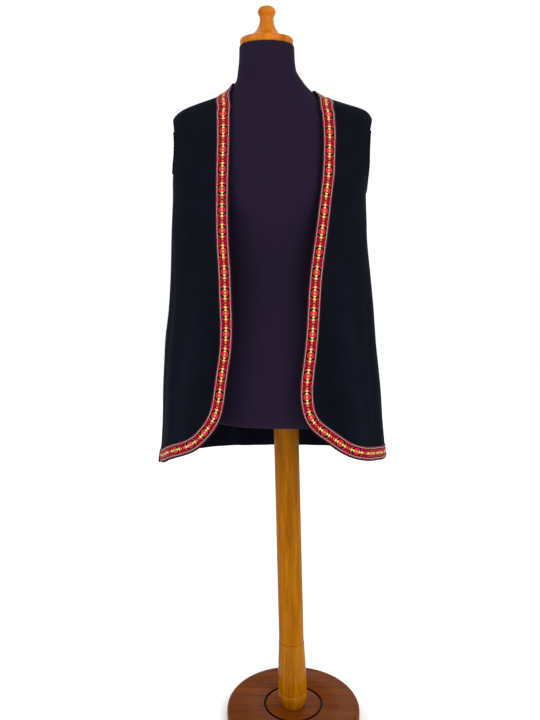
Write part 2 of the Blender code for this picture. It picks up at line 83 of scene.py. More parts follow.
# Soft flutes that open towards the hem: where they start, how far they take to open, and how deep
FLUTE_START_Z = 0.92
FLUTE_RUN = 0.42
BACK_FLUTE = 0.0045
FRONT_FLUTE = 0.0022
FLUTES_BEHIND, FLUTES_IN_FRONT = 7, 5
VENT_REACH = 14              # degrees
SEAM_DIP = 0.0007
SEAM_DIP_WIDTH = 0.0028

# Torso: its lean over the pole, its bust, and how far its shoulders lie under the vest's rings
POLE_LEAN = 0.015
TORSO_LEAN = 0.037
NECK_FOOT_Z = 1.25
BUST_RISE, BUST_Z, BUST_TURN = 0.0115, 1.020, 30
BUST_HALF_HEIGHT, BUST_HALF_TURN = 0.045, 17
SHOULDER_SIDE, SHOULDER_FRONT, SHOULDER_BACK = 0.0016, 0.0038, 0.0058
SHOULDER_Z = 1.19

# Stand
POLE_RADIUS = 0.0243
SLEEVE_TOP_Z = 0.152
SLEEVE_RADIUS = 0.0280
BASE_TOP_Z = 0.026
BASE_RADIUS = 0.130
BASE_ROUND = 0.0085
GROOVE_RADIUS = 0.0555

# The photograph's view, with 36 mm of film height, and the studio
CAMERA_X = -0.0459
CAMERA_TILT = math.radians(2.17)
CAMERA_LENS = 38.4
CAMERA_SHIFT = -0.15
SKY_STRENGTH = 1.05
FLOOR_HALF_WIDTH = 14

# Vest: height, half width left, half width right, depth in front, depth behind, squareness
VEST_RINGS = [
    (0.4800, 0.2152, 0.2195, 0.1655, 0.1485, 2.4),
    (0.5500, 0.2130, 0.2155, 0.1620, 0.1450, 2.4),
    (0.6000, 0.2105, 0.2110, 0.1585, 0.1410, 2.4),
    (0.6550, 0.2095, 0.2075, 0.1540, 0.1370, 2.4),
    (0.7000, 0.2075, 0.2030, 0.1500, 0.1330, 2.4),
    (0.7480, 0.2050, 0.1980, 0.1460, 0.1280, 2.4),
    (0.8100, 0.1980, 0.1940, 0.1430, 0.1215, 2.4),
    (0.8760, 0.1940, 0.1880, 0.1420, 0.1175, 2.4),
    (0.9500, 0.1920, 0.1810, 0.1440, 0.1170, 2.4),
    (1.0300, 0.1890, 0.1790, 0.1400, 0.1180, 2.4),
    (1.0900, 0.1930, 0.1900, 0.1260, 0.1165, 2.4),
    (1.1300, 0.1930, 0.1930, 0.1130, 0.1130, 2.4),
    (1.1670, 0.1890, 0.1910, 0.0955, 0.1065, 2.4),
    (1.1820, 0.1770, 0.1830, 0.0845, 0.1005, 2.3),
    (1.1980, 0.1435, 0.1420, 0.0705, 0.0930, 2.2),
    (1.2045, 0.1250, 0.1215, 0.0655, 0.0895, 2.15),
    (1.2098, 0.1110, 0.1055, 0.0622, 0.0862, 2.1),
    (1.2155, 0.0990, 0.0930, 0.0592, 0.0822, 2.1),
    (1.2220, 0.0890, 0.0830, 0.0568, 0.0775, 2.05),
    (1.2300, 0.0808, 0.0737, 0.0553, 0.0715, 2.0),
    (1.2395, 0.0742, 0.0650, 0.0547, 0.0645, 2.0),
    (1.2500, 0.0690, 0.0575, 0.0545, 0.0590, 2.0),
]

# Torso: the same columns. Its shoulders, between the arm ends and the neck, follow the vest's rings.
FORM_RINGS = [
    (0.6000, 0.1680, 0.1680, 0.1140, 0.1220, 2.2),
    (0.6200, 0.1700, 0.1700, 0.1160, 0.1250, 2.2),
    (0.6800, 0.1690, 0.1690, 0.1150, 0.1270, 2.2),
    (0.7400, 0.1580, 0.1580, 0.1110, 0.1170, 2.2),
    (0.8000, 0.1370, 0.1370, 0.1020, 0.0980, 2.2),
    (0.8650, 0.1220, 0.1220, 0.0920, 0.0860, 2.2),
    (0.9200, 0.1300, 0.1300, 0.0990, 0.0890, 2.2),
    (0.9800, 0.1460, 0.1460, 0.1130, 0.0980, 2.2),
    (1.0300, 0.1580, 0.1580, 0.1200, 0.1060, 2.3),
    (1.0700, 0.1680, 0.1680, 0.1190, 0.1100, 2.4),
    (1.1000, 0.1710, 0.1730, 0.1140, 0.1100, 2.4),
    (1.1270, 0.1720, 0.1750, 0.1060, 0.1075, 2.4),
    (1.1636, 0.1700, 0.1740, 0.0915, 0.1015, 2.4),
    (1.1790, 0.1640, 0.1700, 0.0800, 0.0955, 2.3),
    (1.2640, 0.0550, 0.0560, 0.0521, 0.0530, 2.0),
    (1.2850, 0.0530, 0.0535, 0.0525, 0.0525, 2.0),
    (1.3100, 0.0525, 0.0525, 0.0525, 0.0525, 2.0),
]

# Free edge of each front: distance from the vest's centre line, height. From the shoulder seam down
# the front edge, round the lower corner and along the hem.
LEFT_EDGE = [
    (0.0740, 1.2400), (0.0745, 1.2250), (0.0745, 1.2060), (0.0735, 1.1750), (0.0730, 1.1300),
    (0.0740, 1.0600), (0.0745, 0.9900), (0.0730, 0.9300), (0.0705, 0.8900), (0.0690, 0.8400),
    (0.0675, 0.7900), (0.0690, 0.7500), (0.0740, 0.7150), (0.0785, 0.6850), (0.0815, 0.6600),
    (0.0865, 0.6350), (0.0960, 0.6130), (0.1100, 0.5935), (0.1290, 0.5733), (0.1460, 0.5618),
    (0.1620, 0.5540), (0.1790, 0.5457), (0.1960, 0.5335), (0.2080, 0.5200),
]
RIGHT_EDGE = [
    (0.0790, 1.2255), (0.0810, 1.2130), (0.0840, 1.1950), (0.0870, 1.1650), (0.0890, 1.1250),
    (0.0868, 1.0700), (0.0802, 1.0100), (0.0740, 0.9600), (0.0671, 0.9100), (0.0625, 0.8700),
    (0.0600, 0.8300), (0.0573, 0.7800), (0.0533, 0.7400), (0.0486, 0.7050), (0.0465, 0.6750),
    (0.0484, 0.6500), (0.0560, 0.6250), (0.0712, 0.6050), (0.0918, 0.5895), (0.1120, 0.5735),
    (0.1340, 0.5585), (0.1560, 0.5490), (0.1770, 0.5428), (0.1980, 0.5362), (0.2120, 0.5290),
]

RIDGE_HEIGHT = 0.0065        # a fold this high is painted as light on its ridge as it gets: painted shade of the folds
FOLD_FADE = 0.45             # the share of its run over which a fold fades in, and out
FOLD_CALM_TURN = 7           # folds die out this many degrees from a side seam

# Soft folds, listed: angle (0 is the front, 90 the wearer's left side, 180 the back) and height
# where it starts, the same where it ends, half width in mm, and height in mm, minus for a trough.
FOLDS = [
    (-50, 0.960, -57, 0.500, 17, 2.6), (-37, 0.850, -33, 0.560, 14, -2.2), (-71, 1.000, -77, 0.500, 19, -3.0),
    (-64, 1.105, -44, 1.030, 14, 1.6), (-46, 1.150, -60, 1.010, 16, -1.4), (-66, 0.930, -64, 0.540, 11, 1.3),
    (-79, 1.020, -66, 0.900, 12, 1.5),
    (47, 0.970, 55, 0.500, 18, 2.8), (33, 0.840, 36, 0.590, 13, -2.0), (70, 0.990, 66, 0.500, 17, -2.8),
    (62, 1.110, 42, 1.035, 15, 1.7), (44, 1.140, 62, 1.005, 17, -1.5), (80, 0.900, 81, 0.520, 11, 1.4),
    (80, 1.015, 64, 0.880, 13, 1.6),
    (181, 1.020, 184, 0.480, 21, -4.6), (159, 0.950, 154, 0.480, 17, 4.2), (205, 0.930, 209, 0.480, 19, 4.5),
    (137, 1.000, 131, 0.480, 16, -3.8), (226, 1.010, 231, 0.480, 17, -3.6), (246, 0.900, 249, 0.480, 13, 2.8),
    (114, 0.880, 112, 0.480, 13, 2.7), (112, 1.110, 140, 1.050, 15, 1.5), (248, 1.115, 222, 1.040, 16, 1.7),
    (150, 1.170, 141, 1.040, 16, -1.3), (212, 1.165, 220, 1.035, 15, -1.2),
]

# Woven ribbon, charted from its selvedge to its centre line and from a flower's centre to the middle
# of the next motif. It is mirrored both ways, so the repeat is 48 picks long and 32 cells wide.
RIBBON_CHART = [
    "nmmggkkkrrrrdooo",
    "nmmggkkkrrrrdooo",
    "nmmggkkkrrrrddoo",
    "nmmggkkkrrrrrdoo",
    "nmmggkkkrrrrrrdd",
    "nmmggkkkkrrrrrrk",
    "nmmggkkkkkrrrkyy",
    "nmmggkkkkkkrkyyy",
    "nmmggkkkkkkkkyyy",
    "nmmggkkkkkkkkkyy",
    "nmmggkkkkkkkkkko",
    "nmmggkcrrkkkkkko",
    "nmmggkrrrrkkkkyy",
    "nmmggkcrrrrkkyyy",
    "nmmggkdcrrrrkyyy",
    "nmmggkkdcrrrkyyy",
    "nmcggkkkkccrrkyy",
    "nmcsgkckkkccrrkk",
    "ncmsgrrkkkkccrrk",
    "ncmsgrrckkkkcrko",
    "ncmsgkkkrckkkroo",
    "ncmsgkkcrrkkkkoo",
    "ncmsgrkkrckkrrko",
    "ncmsgrrkkkkrrckk",
    "ncmsgrrrkkkrrkkk",
]
YARNS = {
    "n": ("#200a10", 0.10), "m": ("#4c1826", 0.30), "g": ("#b0887a", 0.45), "s": ("#8a4a4a", 0.45),
    "k": ("#050508", 0.00), "r": ("#d80e38", 0.80), "c": ("#98062e", 0.60), "d": ("#40041a", 0.20),
    "o": ("#dc8c54", 0.90), "y": ("#dcd468", 1.00),
}
CELLS_ACROSS = 32
PICKS = 48
LEFT_PHASE, RIGHT_PHASE = 0.05, 0.19     # where in the repeat each front ribbon starts, as a share of it
YARN_RISE = 0.00022                      # how far the brightest yarns float over the ground
STITCH_LINE = 0.055                      # from a ribbon's edge to its stitches, as a share of its width
STITCH_WIDTH, STITCH_HEIGHT = 0.00028, 0.00022


def srgb(code):
    """A colour written #rrggbb, as the linear values that Blender works in."""
    parts = [int(code[i:i + 2], 16) / 255 for i in (1, 3, 5)]
    return tuple(c / 12.92 if c <= 0.04045 else ((c + 0.055) / 1.055) ** 2.4 for c in parts)


# Settings

def length(name, about, value, **limits):
    """A setting in metres."""
    return FloatProperty(name=name, description=about, default=value, unit="LENGTH", **limits)


def colour(name, about, code):
    """A colour setting, given as #rrggbb."""
    return FloatVectorProperty(name=name, description=about, size=3, subtype="COLOR", default=srgb(code))


class VestSettings(bpy.types.PropertyGroup):
    """The vest's sizes, folds and colours"""
    cloth: length("Cloth", "Thickness of the felted wool", 0.0020, min=0.001, max=0.003)
    ribbon_width: length("Ribbon width", "Width of the woven ribbon", 0.0240)
    ribbon_lift: length("Ribbon height", "Height of the ribbon's face over the cloth", 0.0013)
    repeat: length("Pattern repeat", "From one woven flower to the next", 0.0364)
    stitch: length("Stitch", "Pitch of the stitches that hold the ribbon", 0.0034)
    folds: FloatProperty(name="Folds", description="Strength of the cloth's soft folds", default=1.0,
                         subtype="FACTOR", min=0, max=2)
    wool: colour("Wool", "Colour of the felted wool", "#05060b")
    # Painted light: the colour that the folds' ridges are painted, against the plain wool in their troughs,
    # to shade the folds
    wool_ridge_light: colour("Wool fold light", "Colour of the wool painted on the folds' ridges, as painted shade of the folds", "#13151f")
    thread: colour("Thread", "Colour of the sewing thread", "#3a1620")


class FormSettings(bpy.types.PropertyGroup):
    """The dress form's turning steps and colours"""
    segments: IntProperty(name="Turning steps", description="Steps round each turned piece", default=96,
                          min=24)
    jersey: colour("Jersey", "Colour of the jersey over the torso", "#1f1728")
    cap_wood: colour("Cap wood", "Colour of the neck cap's wood", "#b86806")
    pole_wood: colour("Pole wood", "Colour of the pole's wood", "#9c6002")
    base_wood: colour("Base wood", "Colour of the base's wood", "#673203")


class StageSettings(bpy.types.PropertyGroup):
    """The studio's floor, lights and camera"""
    floor: colour("Floor", "Colour of the studio floor", "#fcfcfc")
    key: FloatProperty(name="Key light", description="Power of the large soft light in front",
                       default=26.0, unit="POWER")
    fill: FloatProperty(name="Fill light", description="Power of the soft light from the side",
                        default=12.0, unit="POWER")
    eye_height: length("Camera height", "Height of the camera over the floor", 0.9725)
    distance: length("Camera distance", "From the camera to the form's axis", 1.4811)


# The skins of the vest and the torso, and the paths that run on them

def curve(xs, ys, x):
    """Smooth curve through the points of a short table, without overshoot (monotone cubic)."""
    xs, ys = np.asarray(xs, float), np.asarray(ys, float)
    step = np.diff(xs)
    rise = np.diff(ys) / step
    slope = np.zeros_like(ys)
    same = rise[:-1] * rise[1:] > 0
    w1, w2 = 2 * step[1:] + step[:-1], step[1:] + 2 * step[:-1]
    safe0, safe1 = np.where(same, rise[:-1], 1.0), np.where(same, rise[1:], 1.0)
    slope[1:-1] = np.where(same, (w1 + w2) / (w1 / safe0 + w2 / safe1), 0.0)
    slope[0], slope[-1] = rise[0], rise[-1]
    x = np.clip(x, xs[0], xs[-1])
    i = np.clip(np.searchsorted(xs, x) - 1, 0, len(step) - 1)
    t = (x - xs[i]) / step[i]
    return ((2 * t**3 - 3 * t**2 + 1) * ys[i] + (t**3 - 2 * t**2 + t) * step[i] * slope[i]
            + (3 * t**2 - 2 * t**3) * ys[i + 1] + (t**3 - t**2) * step[i] * slope[i + 1])


def soft_step(x):
    """From 0 to 1 with a soft start and end."""
    x = np.clip(x, 0.0, 1.0)
    return x * x * (3 - 2 * x)


class Skin:
    """A closed skin given by level rings. angle 0 is the front, +90 degrees the +X side; climb is the
    distance travelled up the side, from the lowest ring. Both may be arrays."""

    def __init__(self, rings, centre, relief):
        table = np.array(rings)
        half = (table[:, 1] + table[:, 2]) / 2
        marks = np.concatenate([[0], np.cumsum(np.hypot(np.diff(table[:, 0]), np.diff(half)))])
        self.marks, self.heights = marks, table[:, 0]
        self.climbs = np.linspace(0, marks[-1], SKIN_SAMPLES)
        self.columns = [curve(marks, column, self.climbs) for column in table.T]
        self.centre, self.relief = centre, relief

    def at_height(self, z):
        return float(np.interp(z, self.heights, self.marks))

    def height(self, climb):
        return np.interp(climb, self.climbs, self.columns[0])

    def radius(self, angle, climb):
        z, left, right, front, back, n = (np.interp(climb, self.climbs, c) for c in self.columns)
        s, c = np.sin(angle), np.cos(angle)
        wide, deep = np.where(s > 0, right, left), np.where(c > 0, front, back)
        r = ((np.abs(s) / wide) ** n + (np.abs(c) / deep) ** n) ** (-1 / n)
        return r + self.relief(angle, z, r), z

    def point(self, angle, climb):
        r, z = self.radius(angle, climb)
        return np.stack([self.centre(z) + r * np.sin(angle), -r * np.cos(angle), z + 0 * r], axis=-1)

    def frame(self, angle, climb):
        """Two tangents and the outward normal, read on the same panel's side of a seam."""
        da, dc = 0.004, 0.0008
        turn = (np.asarray(angle, float) + math.pi / 2) % math.pi
        angle = angle + np.clip(1.5 * da - turn, 0, None) - np.clip(1.5 * da - (math.pi - turn), 0, None)
        along = (self.point(angle + da, climb) - self.point(angle - da, climb)) / (2 * da)
        up = (self.point(angle, climb + dc) - self.point(angle, climb - dc)) / (2 * dc)
        out = np.cross(along, up)
        return along, up, out / np.linalg.norm(out, axis=-1, keepdims=True)


def flutes(angle, z):
    """Soft flutes that open towards the hem, none at the side seams, and the spread of the vents."""
    fall = np.clip((FLUTE_START_Z - z) / FLUTE_RUN, 0.0, 1.0) ** 1.5
    turn = (np.degrees(angle) + 360) % 360
    behind = (turn > 90) & (turn < 270)
    window = np.sin(np.radians(turn - 90)) ** 2
    near = np.exp(-(np.minimum(turn - 90, 270 - turn) / VENT_REACH) ** 2)
    spread = VENT_SPREAD * near * soft_step((VENT_TOP_Z - z) / (VENT_TOP_Z - VENT_FULL_Z))
    waves = np.cos(np.radians(FLUTES_BEHIND * (turn - 180)))
    back = fall * BACK_FLUTE * window * waves + spread
    off = np.where(turn <= 90, turn, turn - 360)
    waves = np.cos(np.radians(FLUTES_IN_FRONT * off))
    front = FRONT_FLUTE * fall * np.sin(np.radians(2 * np.abs(off))) ** 2 * waves
    return np.where(behind, back, front)


def folds(angle, z, r):
    """The folds of the list, each a soft ridge or trough that fades in from its start, and fades out
    again unless it runs to the hem."""
    turn = np.degrees(angle)
    total = np.zeros_like(turn + z)
    for start, high, end, low, half_width, height in FOLDS:
        run = (high - z) / (high - low)
        line = start + (end - start) * np.clip(run, -0.3, 1.3)
        off = (turn - line + 180) % 360 - 180
        across = np.radians(off) * r * 1000 / half_width
        steep = math.hypot(1, math.radians(end - start) * 0.18 / (high - low))
        fade = soft_step(run / FOLD_FADE) * (1 if low < 0.55 else soft_step((1 - run) / FOLD_FADE))
        total += height / 1000 * fade * np.exp(-(across / steep) ** 2)
    turn = turn % 360
    calm = 1 - np.exp(-(np.minimum(np.abs(turn - 90), np.abs(turn - 270)) / FOLD_CALM_TURN) ** 2)
    return total * calm


def seam_dip(angle, z, r):
    """Side and shoulder seams draw the cloth in a little; the vents below them are open."""
    turn = np.degrees(angle) % 360
    off = np.radians(np.minimum(np.abs(turn - 90), np.abs(turn - 270))) * r
    return -SEAM_DIP * np.exp(-(off / SEAM_DIP_WIDTH) ** 2) * soft_step((z - VENT_TOP_Z) / 0.01)


def vest_relief(angle, z, r):
    strength = bpy.context.scene.folk_vest.folds
    return flutes(angle, z) + strength * folds(angle, z, r) + seam_dip(angle, z, r)


def form_relief(angle, z, r):
    """The bust."""
    turn = (np.degrees(angle) + 180) % 360 - 180
    across, up = (np.abs(turn) - BUST_TURN) / BUST_HALF_TURN, (z - BUST_Z) / BUST_HALF_HEIGHT
    return BUST_RISE * np.exp(-across**2) * np.exp(-up**2)


def form_centre(z):
    """The torso leans a little to one side; its rings stay level."""
    above = np.clip(np.minimum(z, NECK_FOOT_Z) - FORM_BOTTOM_Z, 0, None)
    return (-POLE_LEAN * np.minimum(z, FORM_BOTTOM_Z) / FORM_BOTTOM_Z
            - TORSO_LEAN * above / (NECK_FOOT_Z - FORM_BOTTOM_Z))


def shoulder_rings():
    """The torso's rings under the vest's shoulders, about the torso's own centre."""
    rings = []
    for z, left, right, front, back, n in VEST_RINGS:
        if z > SHOULDER_Z:
            low = z - SEAT_DROP
            shift = VEST_CENTRE_X - form_centre(low)
            rings.append((low, left - shift - SHOULDER_SIDE, right + shift - SHOULDER_SIDE,
                          front - SHOULDER_FRONT, back - SHOULDER_BACK, n))
    return rings


plain_vest = Skin(VEST_RINGS, lambda z: VEST_CENTRE_X, lambda angle, z, r: flutes(angle, z))
vest = Skin(VEST_RINGS, lambda z: VEST_CENTRE_X, vest_relief)
form = Skin(sorted(FORM_RINGS + shoulder_rings()), form_centre, form_relief)


def seam_angle(line, side, climb):
    """The angle of a panel's edge beside a seam line, a fixed distance from it. side is -1 or +1."""
    r, _ = plain_vest.radius(line, climb)
    return line + side * SEAM_GAP / r


def shares(steps, closer=1.0):
    """Even shares of a length, or shares that lie closer together towards its end."""
    return 1 - (1 - np.linspace(0, 1, steps + 1)) ** closer


def spread(path, places):
    """A path of (angle, climb) resampled at shares of its length on the skin."""
    path = np.asarray(path, float)
    marks = np.arange(len(path))
    fine = np.linspace(0, len(path) - 1, 6 * (len(path) - 1) + 1)
    fine = np.stack([np.interp(fine, marks, path[:, 0]), np.interp(fine, marks, path[:, 1])], axis=1)
    spots = plain_vest.point(fine[:, 0], fine[:, 1])
    run = np.concatenate([[0], np.cumsum(np.linalg.norm(np.diff(spots, axis=0), axis=1))])
    wanted = np.asarray(places) * run[-1]
    return np.stack([np.interp(wanted, run, fine[:, 0]), np.interp(wanted, run, fine[:, 1])], axis=1)


def length_of(path):
    path = spread(path, shares(400))
    return float(np.linalg.norm(np.diff(plain_vest.point(path[:, 0], path[:, 1]), axis=0), axis=1).sum())


def edge_path(table, sign):
    """A front's free edge as (angle, climb), from the shoulder seam to the bottom of the side seam."""
    quarter = math.pi / 2
    table = np.array(table)
    marks = np.concatenate([[0], np.cumsum(np.hypot(*np.diff(table, axis=0).T))])
    s = np.linspace(0, marks[-1], EDGE_SAMPLES)
    over_shoulder = s[1] * (np.arange(6) / 6) ** 2
    s = np.concatenate([over_shoulder, s[1:]])
    x = curve(marks, table[:, 0], s)
    climb = np.interp(curve(marks, table[:, 1], s), plain_vest.heights, plain_vest.marks)
    low, high = np.zeros(len(s)), np.full(len(s), quarter)
    for _ in range(40):
        mid = (low + high) / 2
        r, _ = plain_vest.radius(sign * mid, climb)
        inside = r * np.sin(mid) < x
        low, high = np.where(inside, mid, low), np.where(inside, high, mid)
    foot = plain_vest.at_height(side_hem(sign))
    low[0] = sign * seam_angle(sign * quarter, -sign, climb[0])
    angles = np.append(low, sign * seam_angle(sign * quarter, -sign, foot))
    climbs = np.append(climb, foot)
    smooth = np.array([0.25, 0.5, 0.25])
    for _ in range(2):
        angles[1:-1] = np.convolve(angles, smooth, "valid")
        climbs[1:-1] = np.convolve(climbs, smooth, "valid")
    return np.stack([sign * angles, climbs], axis=1)


def inset(path, distance, side):
    """The path moved across the skin by a distance, then cut or run on to the angles it ended at."""
    before = np.concatenate([path[:1], path[:-1]])
    after = np.concatenate([path[1:], path[-1:]])
    tangent = plain_vest.point(*after.T) - plain_vest.point(*before.T)
    tangent /= np.linalg.norm(tangent, axis=1, keepdims=True)
    along, up, normal = plain_vest.frame(*path.T)
    step = np.cross(normal, tangent) * side * distance
    m = np.array([[(along * along).sum(1), (along * up).sum(1)], [(along * up).sum(1), (up * up).sum(1)]])
    wanted = np.stack([(step * along).sum(1), (step * up).sum(1)], axis=1)
    moved = path + np.linalg.solve(m.transpose(2, 0, 1), wanted[..., None])[..., 0]
    moved = [tuple(spot) for spot in moved]
    return run_to(run_to(moved, path[-1][0])[::-1], path[0][0])[::-1]


def run_to(path, angle):
    """Cut a path where its last part passes an angle, or extend its last stretch to it."""
    sign = 1 if angle > path[len(path) // 2][0] else -1
    keep = list(path)
    while len(keep) > 2 and (keep[-1][0] - angle) * sign > 0 and (keep[-2][0] - angle) * sign > 0:
        keep.pop()
    (a0, c0), (a1, c1) = keep[-2], keep[-1]
    if abs(a1 - a0) > 1e-9:
        t = min((angle - a0) / (a1 - a0), 3.0)
        climb = c0 + (c1 - c0) * t
        line = round(angle / (math.pi / 2)) * math.pi / 2
        keep[-1] = (float(seam_angle(line, 1 if angle > line else -1, climb)), climb)
    return keep


class Pattern:
    """The vest's front or back laid out flat as a cutter draws it: across from the centre line, and
    up along the centre line. The shoulder seams slope in it as they do on cloth."""

    def __init__(self, behind):
        self.behind = behind
        self.climbs = plain_vest.climbs
        z, left, right, front, back, _ = plain_vest.columns
        deep = back if behind else front
        self.half = np.sqrt((((left + right) / 2) ** 2 + deep**2) / 2) * math.pi / 2
        self.up = np.concatenate([[0], np.cumsum(np.hypot(np.diff(z), np.diff(deep)))])

    def lay(self, path):
        angle, climb = np.asarray(path, float).T
        turn = angle - math.pi if self.behind else angle
        return np.stack([np.interp(climb, self.climbs, self.half) * turn / (math.pi / 2),
                         np.interp(climb, self.climbs, self.up)], axis=1)

    def lift(self, across, up):
        climb = np.interp(up, self.up, self.climbs)
        turn = across / np.interp(climb, self.climbs, self.half) * math.pi / 2
        return (turn + math.pi if self.behind else turn), climb


def blend(bottom, top, left, right, behind=False):
    """Coons patch between four paths on the flat pattern: (angle, climb) for every grid point."""
    pattern = Pattern(behind)
    bottom, top, left, right = (pattern.lay(path) for path in (bottom, top, left, right))
    u = np.linspace(0, 1, len(bottom))[None, :, None]
    v = np.linspace(0, 1, len(left))[:, None, None]
    across = (1 - u) * left[:, None] + u * right[:, None]
    upward = (1 - v) * bottom[None] + v * top[None]
    corners = ((1 - u) * (1 - v) * bottom[0] + u * (1 - v) * bottom[-1] + (1 - u) * v * top[0]
               + u * v * top[-1])
    flat = across + upward - corners
    return pattern.lift(flat[..., 0], flat[..., 1])


def armhole(line, side):
    """From the underarm to the shoulder tip, square to both seams."""
    low, high = plain_vest.at_height(UNDERARM_Z), plain_vest.at_height(ARMHOLE_TIP_Z)
    t = np.linspace(0, 1, 49)
    climb = (low + high) / 2 - (high - low) / 2 * np.cos(math.pi * t)
    angle = seam_angle(line, side, climb) + side * ARMHOLE_SCOOP * np.sin(math.pi * t)
    return np.stack([angle, climb], axis=1)


def seam_line(line, side, start, end, places):
    """A panel's edge along a seam, between two climbs."""
    climbs = np.linspace(start, end, 25)
    return spread(np.stack([seam_angle(line, side, climbs), climbs], axis=1), places)


def side_line(line, side, hem_z, hole_steps):
    """Side seam, then armhole, with a grid line exactly at the underarm."""
    hem, underarm = plain_vest.at_height(hem_z), plain_vest.at_height(UNDERARM_Z)
    seam = seam_line(line, side, hem, underarm, shares(SEAM_STEPS))
    return np.concatenate([seam[:-1], spread(armhole(line, side), shares(hole_steps, HOLE_POWER))])


def side_hem(sign):
    """The height of a front's hem at its side seam."""
    return RIGHT_HEM_Z if sign > 0 else LEFT_HEM_Z


def corner_index(edge):
    """The middle of the rounded lower corner: where the edge runs at 45 degrees on the skin."""
    spots = plain_vest.point(*edge.T)
    for i in range(len(edge) // 3, len(edge) - 2):
        run = spots[i + 2] - spots[i - 2]
        if math.hypot(run[0], run[1]) > abs(run[2]):
            return i
    return len(edge) // 2


def back_hem():
    """The back hem from the right side seam to the left one, a little higher at the sides."""
    off = np.linspace(1, -1, 97)
    rise = np.where(off > 0, BACK_HEM_RISE[1], BACK_HEM_RISE[-1]) * np.abs(off) ** 2.5
    climbs = np.interp(BACK_HEM_Z + rise, plain_vest.heights, plain_vest.marks)
    angles = math.pi * (1 - off / 2)
    angles[0] = seam_angle(math.pi / 2, 1, climbs[0])
    angles[-1] = seam_angle(3 * math.pi / 2, -1, climbs[-1])
    return np.stack([angles, climbs], axis=1)


def back_neck():
    """The back neckline from the right shoulder seam to the left one."""
    start, end = plain_vest.at_height(RIGHT_EDGE[0][1]), plain_vest.at_height(LEFT_EDGE[0][1])
    right, left = seam_angle(math.pi / 2, 1, start), seam_angle(3 * math.pi / 2, -1, end)
    t = np.linspace(0, 1, 65)
    return np.stack([right + (left - right) * t,
                     start + (end - start) * t - BACK_NECK_DROP * np.sin(math.pi * t) ** 1.6], axis=1)


# Making the pieces

def add_piece(name, mesh, material, nodes):
    """Adds a finished mesh as a piece of a named material, which rides on the stand and stands for nodes."""
    item = bpy.data.objects.new(name, mesh)
    bpy.context.scene.collection.objects.link(item)
    mesh.materials.append(bpy.data.materials[material])
    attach(item, "root")
    if nodes:
        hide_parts(*nodes)
    return item


def take_mesh(name, bm):
    """The finished bmesh as a smooth mesh."""
    mesh = bpy.data.meshes.new(name)
    bm.to_mesh(mesh)
    bm.free()
    mesh.shade_smooth()
    return mesh


def unit_grid(name, columns, rows, skirt=False):
    """A unit grid, with a skirt one unit deep round it if wanted. Its points are then put in place."""
    bm = bmesh.new()
    bmesh.ops.create_grid(bm, x_segments=columns, y_segments=rows, size=0.5)
    if skirt:
        rim = [edge for edge in bm.edges if edge.is_boundary]
        made = bmesh.ops.extrude_edge_only(bm, edges=rim)["geom"]
        bmesh.ops.translate(bm, verts=[v for v in made if isinstance(v, bmesh.types.BMVert)], vec=(0, 0, -1))
        bmesh.ops.recalc_face_normals(bm, faces=bm.faces)
    bmesh.ops.translate(bm, verts=bm.verts, vec=(0.5, 0.5, 0))
    return take_mesh(name, bm)


def read_points(mesh):
    """The mesh's points as an array of rows."""
    flat = np.empty(len(mesh.vertices) * 3, np.float32)
    mesh.vertices.foreach_get("co", flat)
    return flat.reshape(-1, 3).astype(float)


def write_points(mesh, points):
    """Puts the points in place, and turns the faces outwards from the vest's centre line."""
    mesh.vertices.foreach_set("co", points.astype(np.float32).ravel())
    mesh.update()
    count = len(mesh.polygons)
    normals, centres = np.empty(count * 3, np.float32), np.empty(count * 3, np.float32)
    mesh.polygons.foreach_get("normal", normals)
    mesh.polygons.foreach_get("center", centres)
    outward = centres.reshape(-1, 3) - (VEST_CENTRE_X, 0, 0)
    outward[:, 2] = 0
    if (normals.reshape(-1, 3) * outward).sum() < 0:
        mesh.flip_normals()
    mesh.update()


def make_panel(name, angle, climb, nodes):
    """One wool panel: a grid laid on the vest's skin and thickened inwards."""
    settings = bpy.context.scene.folk_vest
    rows, columns = angle.shape[0] - 1, angle.shape[1] - 1
    mesh = unit_grid(name, columns, rows)
    spot = read_points(mesh)
    i, j = np.rint(spot[:, 0] * columns).astype(int), np.rint(spot[:, 1] * rows).astype(int)
    angle, climb = angle[j, i], climb[j, i]
    write_points(mesh, vest.point(angle, climb))
    radius, z = plain_vest.radius(angle, climb)
    # The folds' height, kept for the wool's painted shade: lighter on their ridges, darker in their troughs
    ridge = mesh.attributes.new("ridge", "FLOAT", "POINT")
    height = (flutes(angle, z) + settings.folds * folds(angle, z, radius)) / RIDGE_HEIGHT
    ridge.data.foreach_set("value", np.clip(0.5 + height / 2, 0, 1).astype(np.float32))
    item = add_piece(name, mesh, "Felted wool", nodes)
    wall = item.modifiers.new("Cloth", "SOLIDIFY")
    wall.thickness = settings.cloth
    wall.offset = -1
    edge = item.modifiers.new("Soft edge", "BEVEL")
    edge.width = 0.0006
    edge.segments = 2
    edge.limit_method = "ANGLE"
    edge.angle_limit = math.radians(50)


def make_front_panel(name, edge, sign, nodes):
    """A front: its grid runs from the rounded corner up the free edge, and out along the hem."""
    line = sign * math.pi / 2
    corner = corner_index(edge)
    columns, hole_steps = 56, 50
    below = 0.68    # the share of the free edge that lies below the armhole's rows
    above = below + (1 - below) * shares(hole_steps, HOLE_POWER)
    places = np.concatenate([below * shares(SEAM_STEPS)[:-1], above])
    left = spread(edge[:corner + 1][::-1], places)
    bottom = spread(edge[corner:], shares(columns, FRONT_POWER))
    right = side_line(line, -sign, side_hem(sign), hole_steps)
    tip = plain_vest.at_height(ARMHOLE_TIP_Z)
    top = seam_line(line, -sign, edge[0][1], tip, shares(columns, FRONT_POWER))
    angle, climb = blend(bottom, top, left, right)
    make_panel(name, angle, climb, nodes)


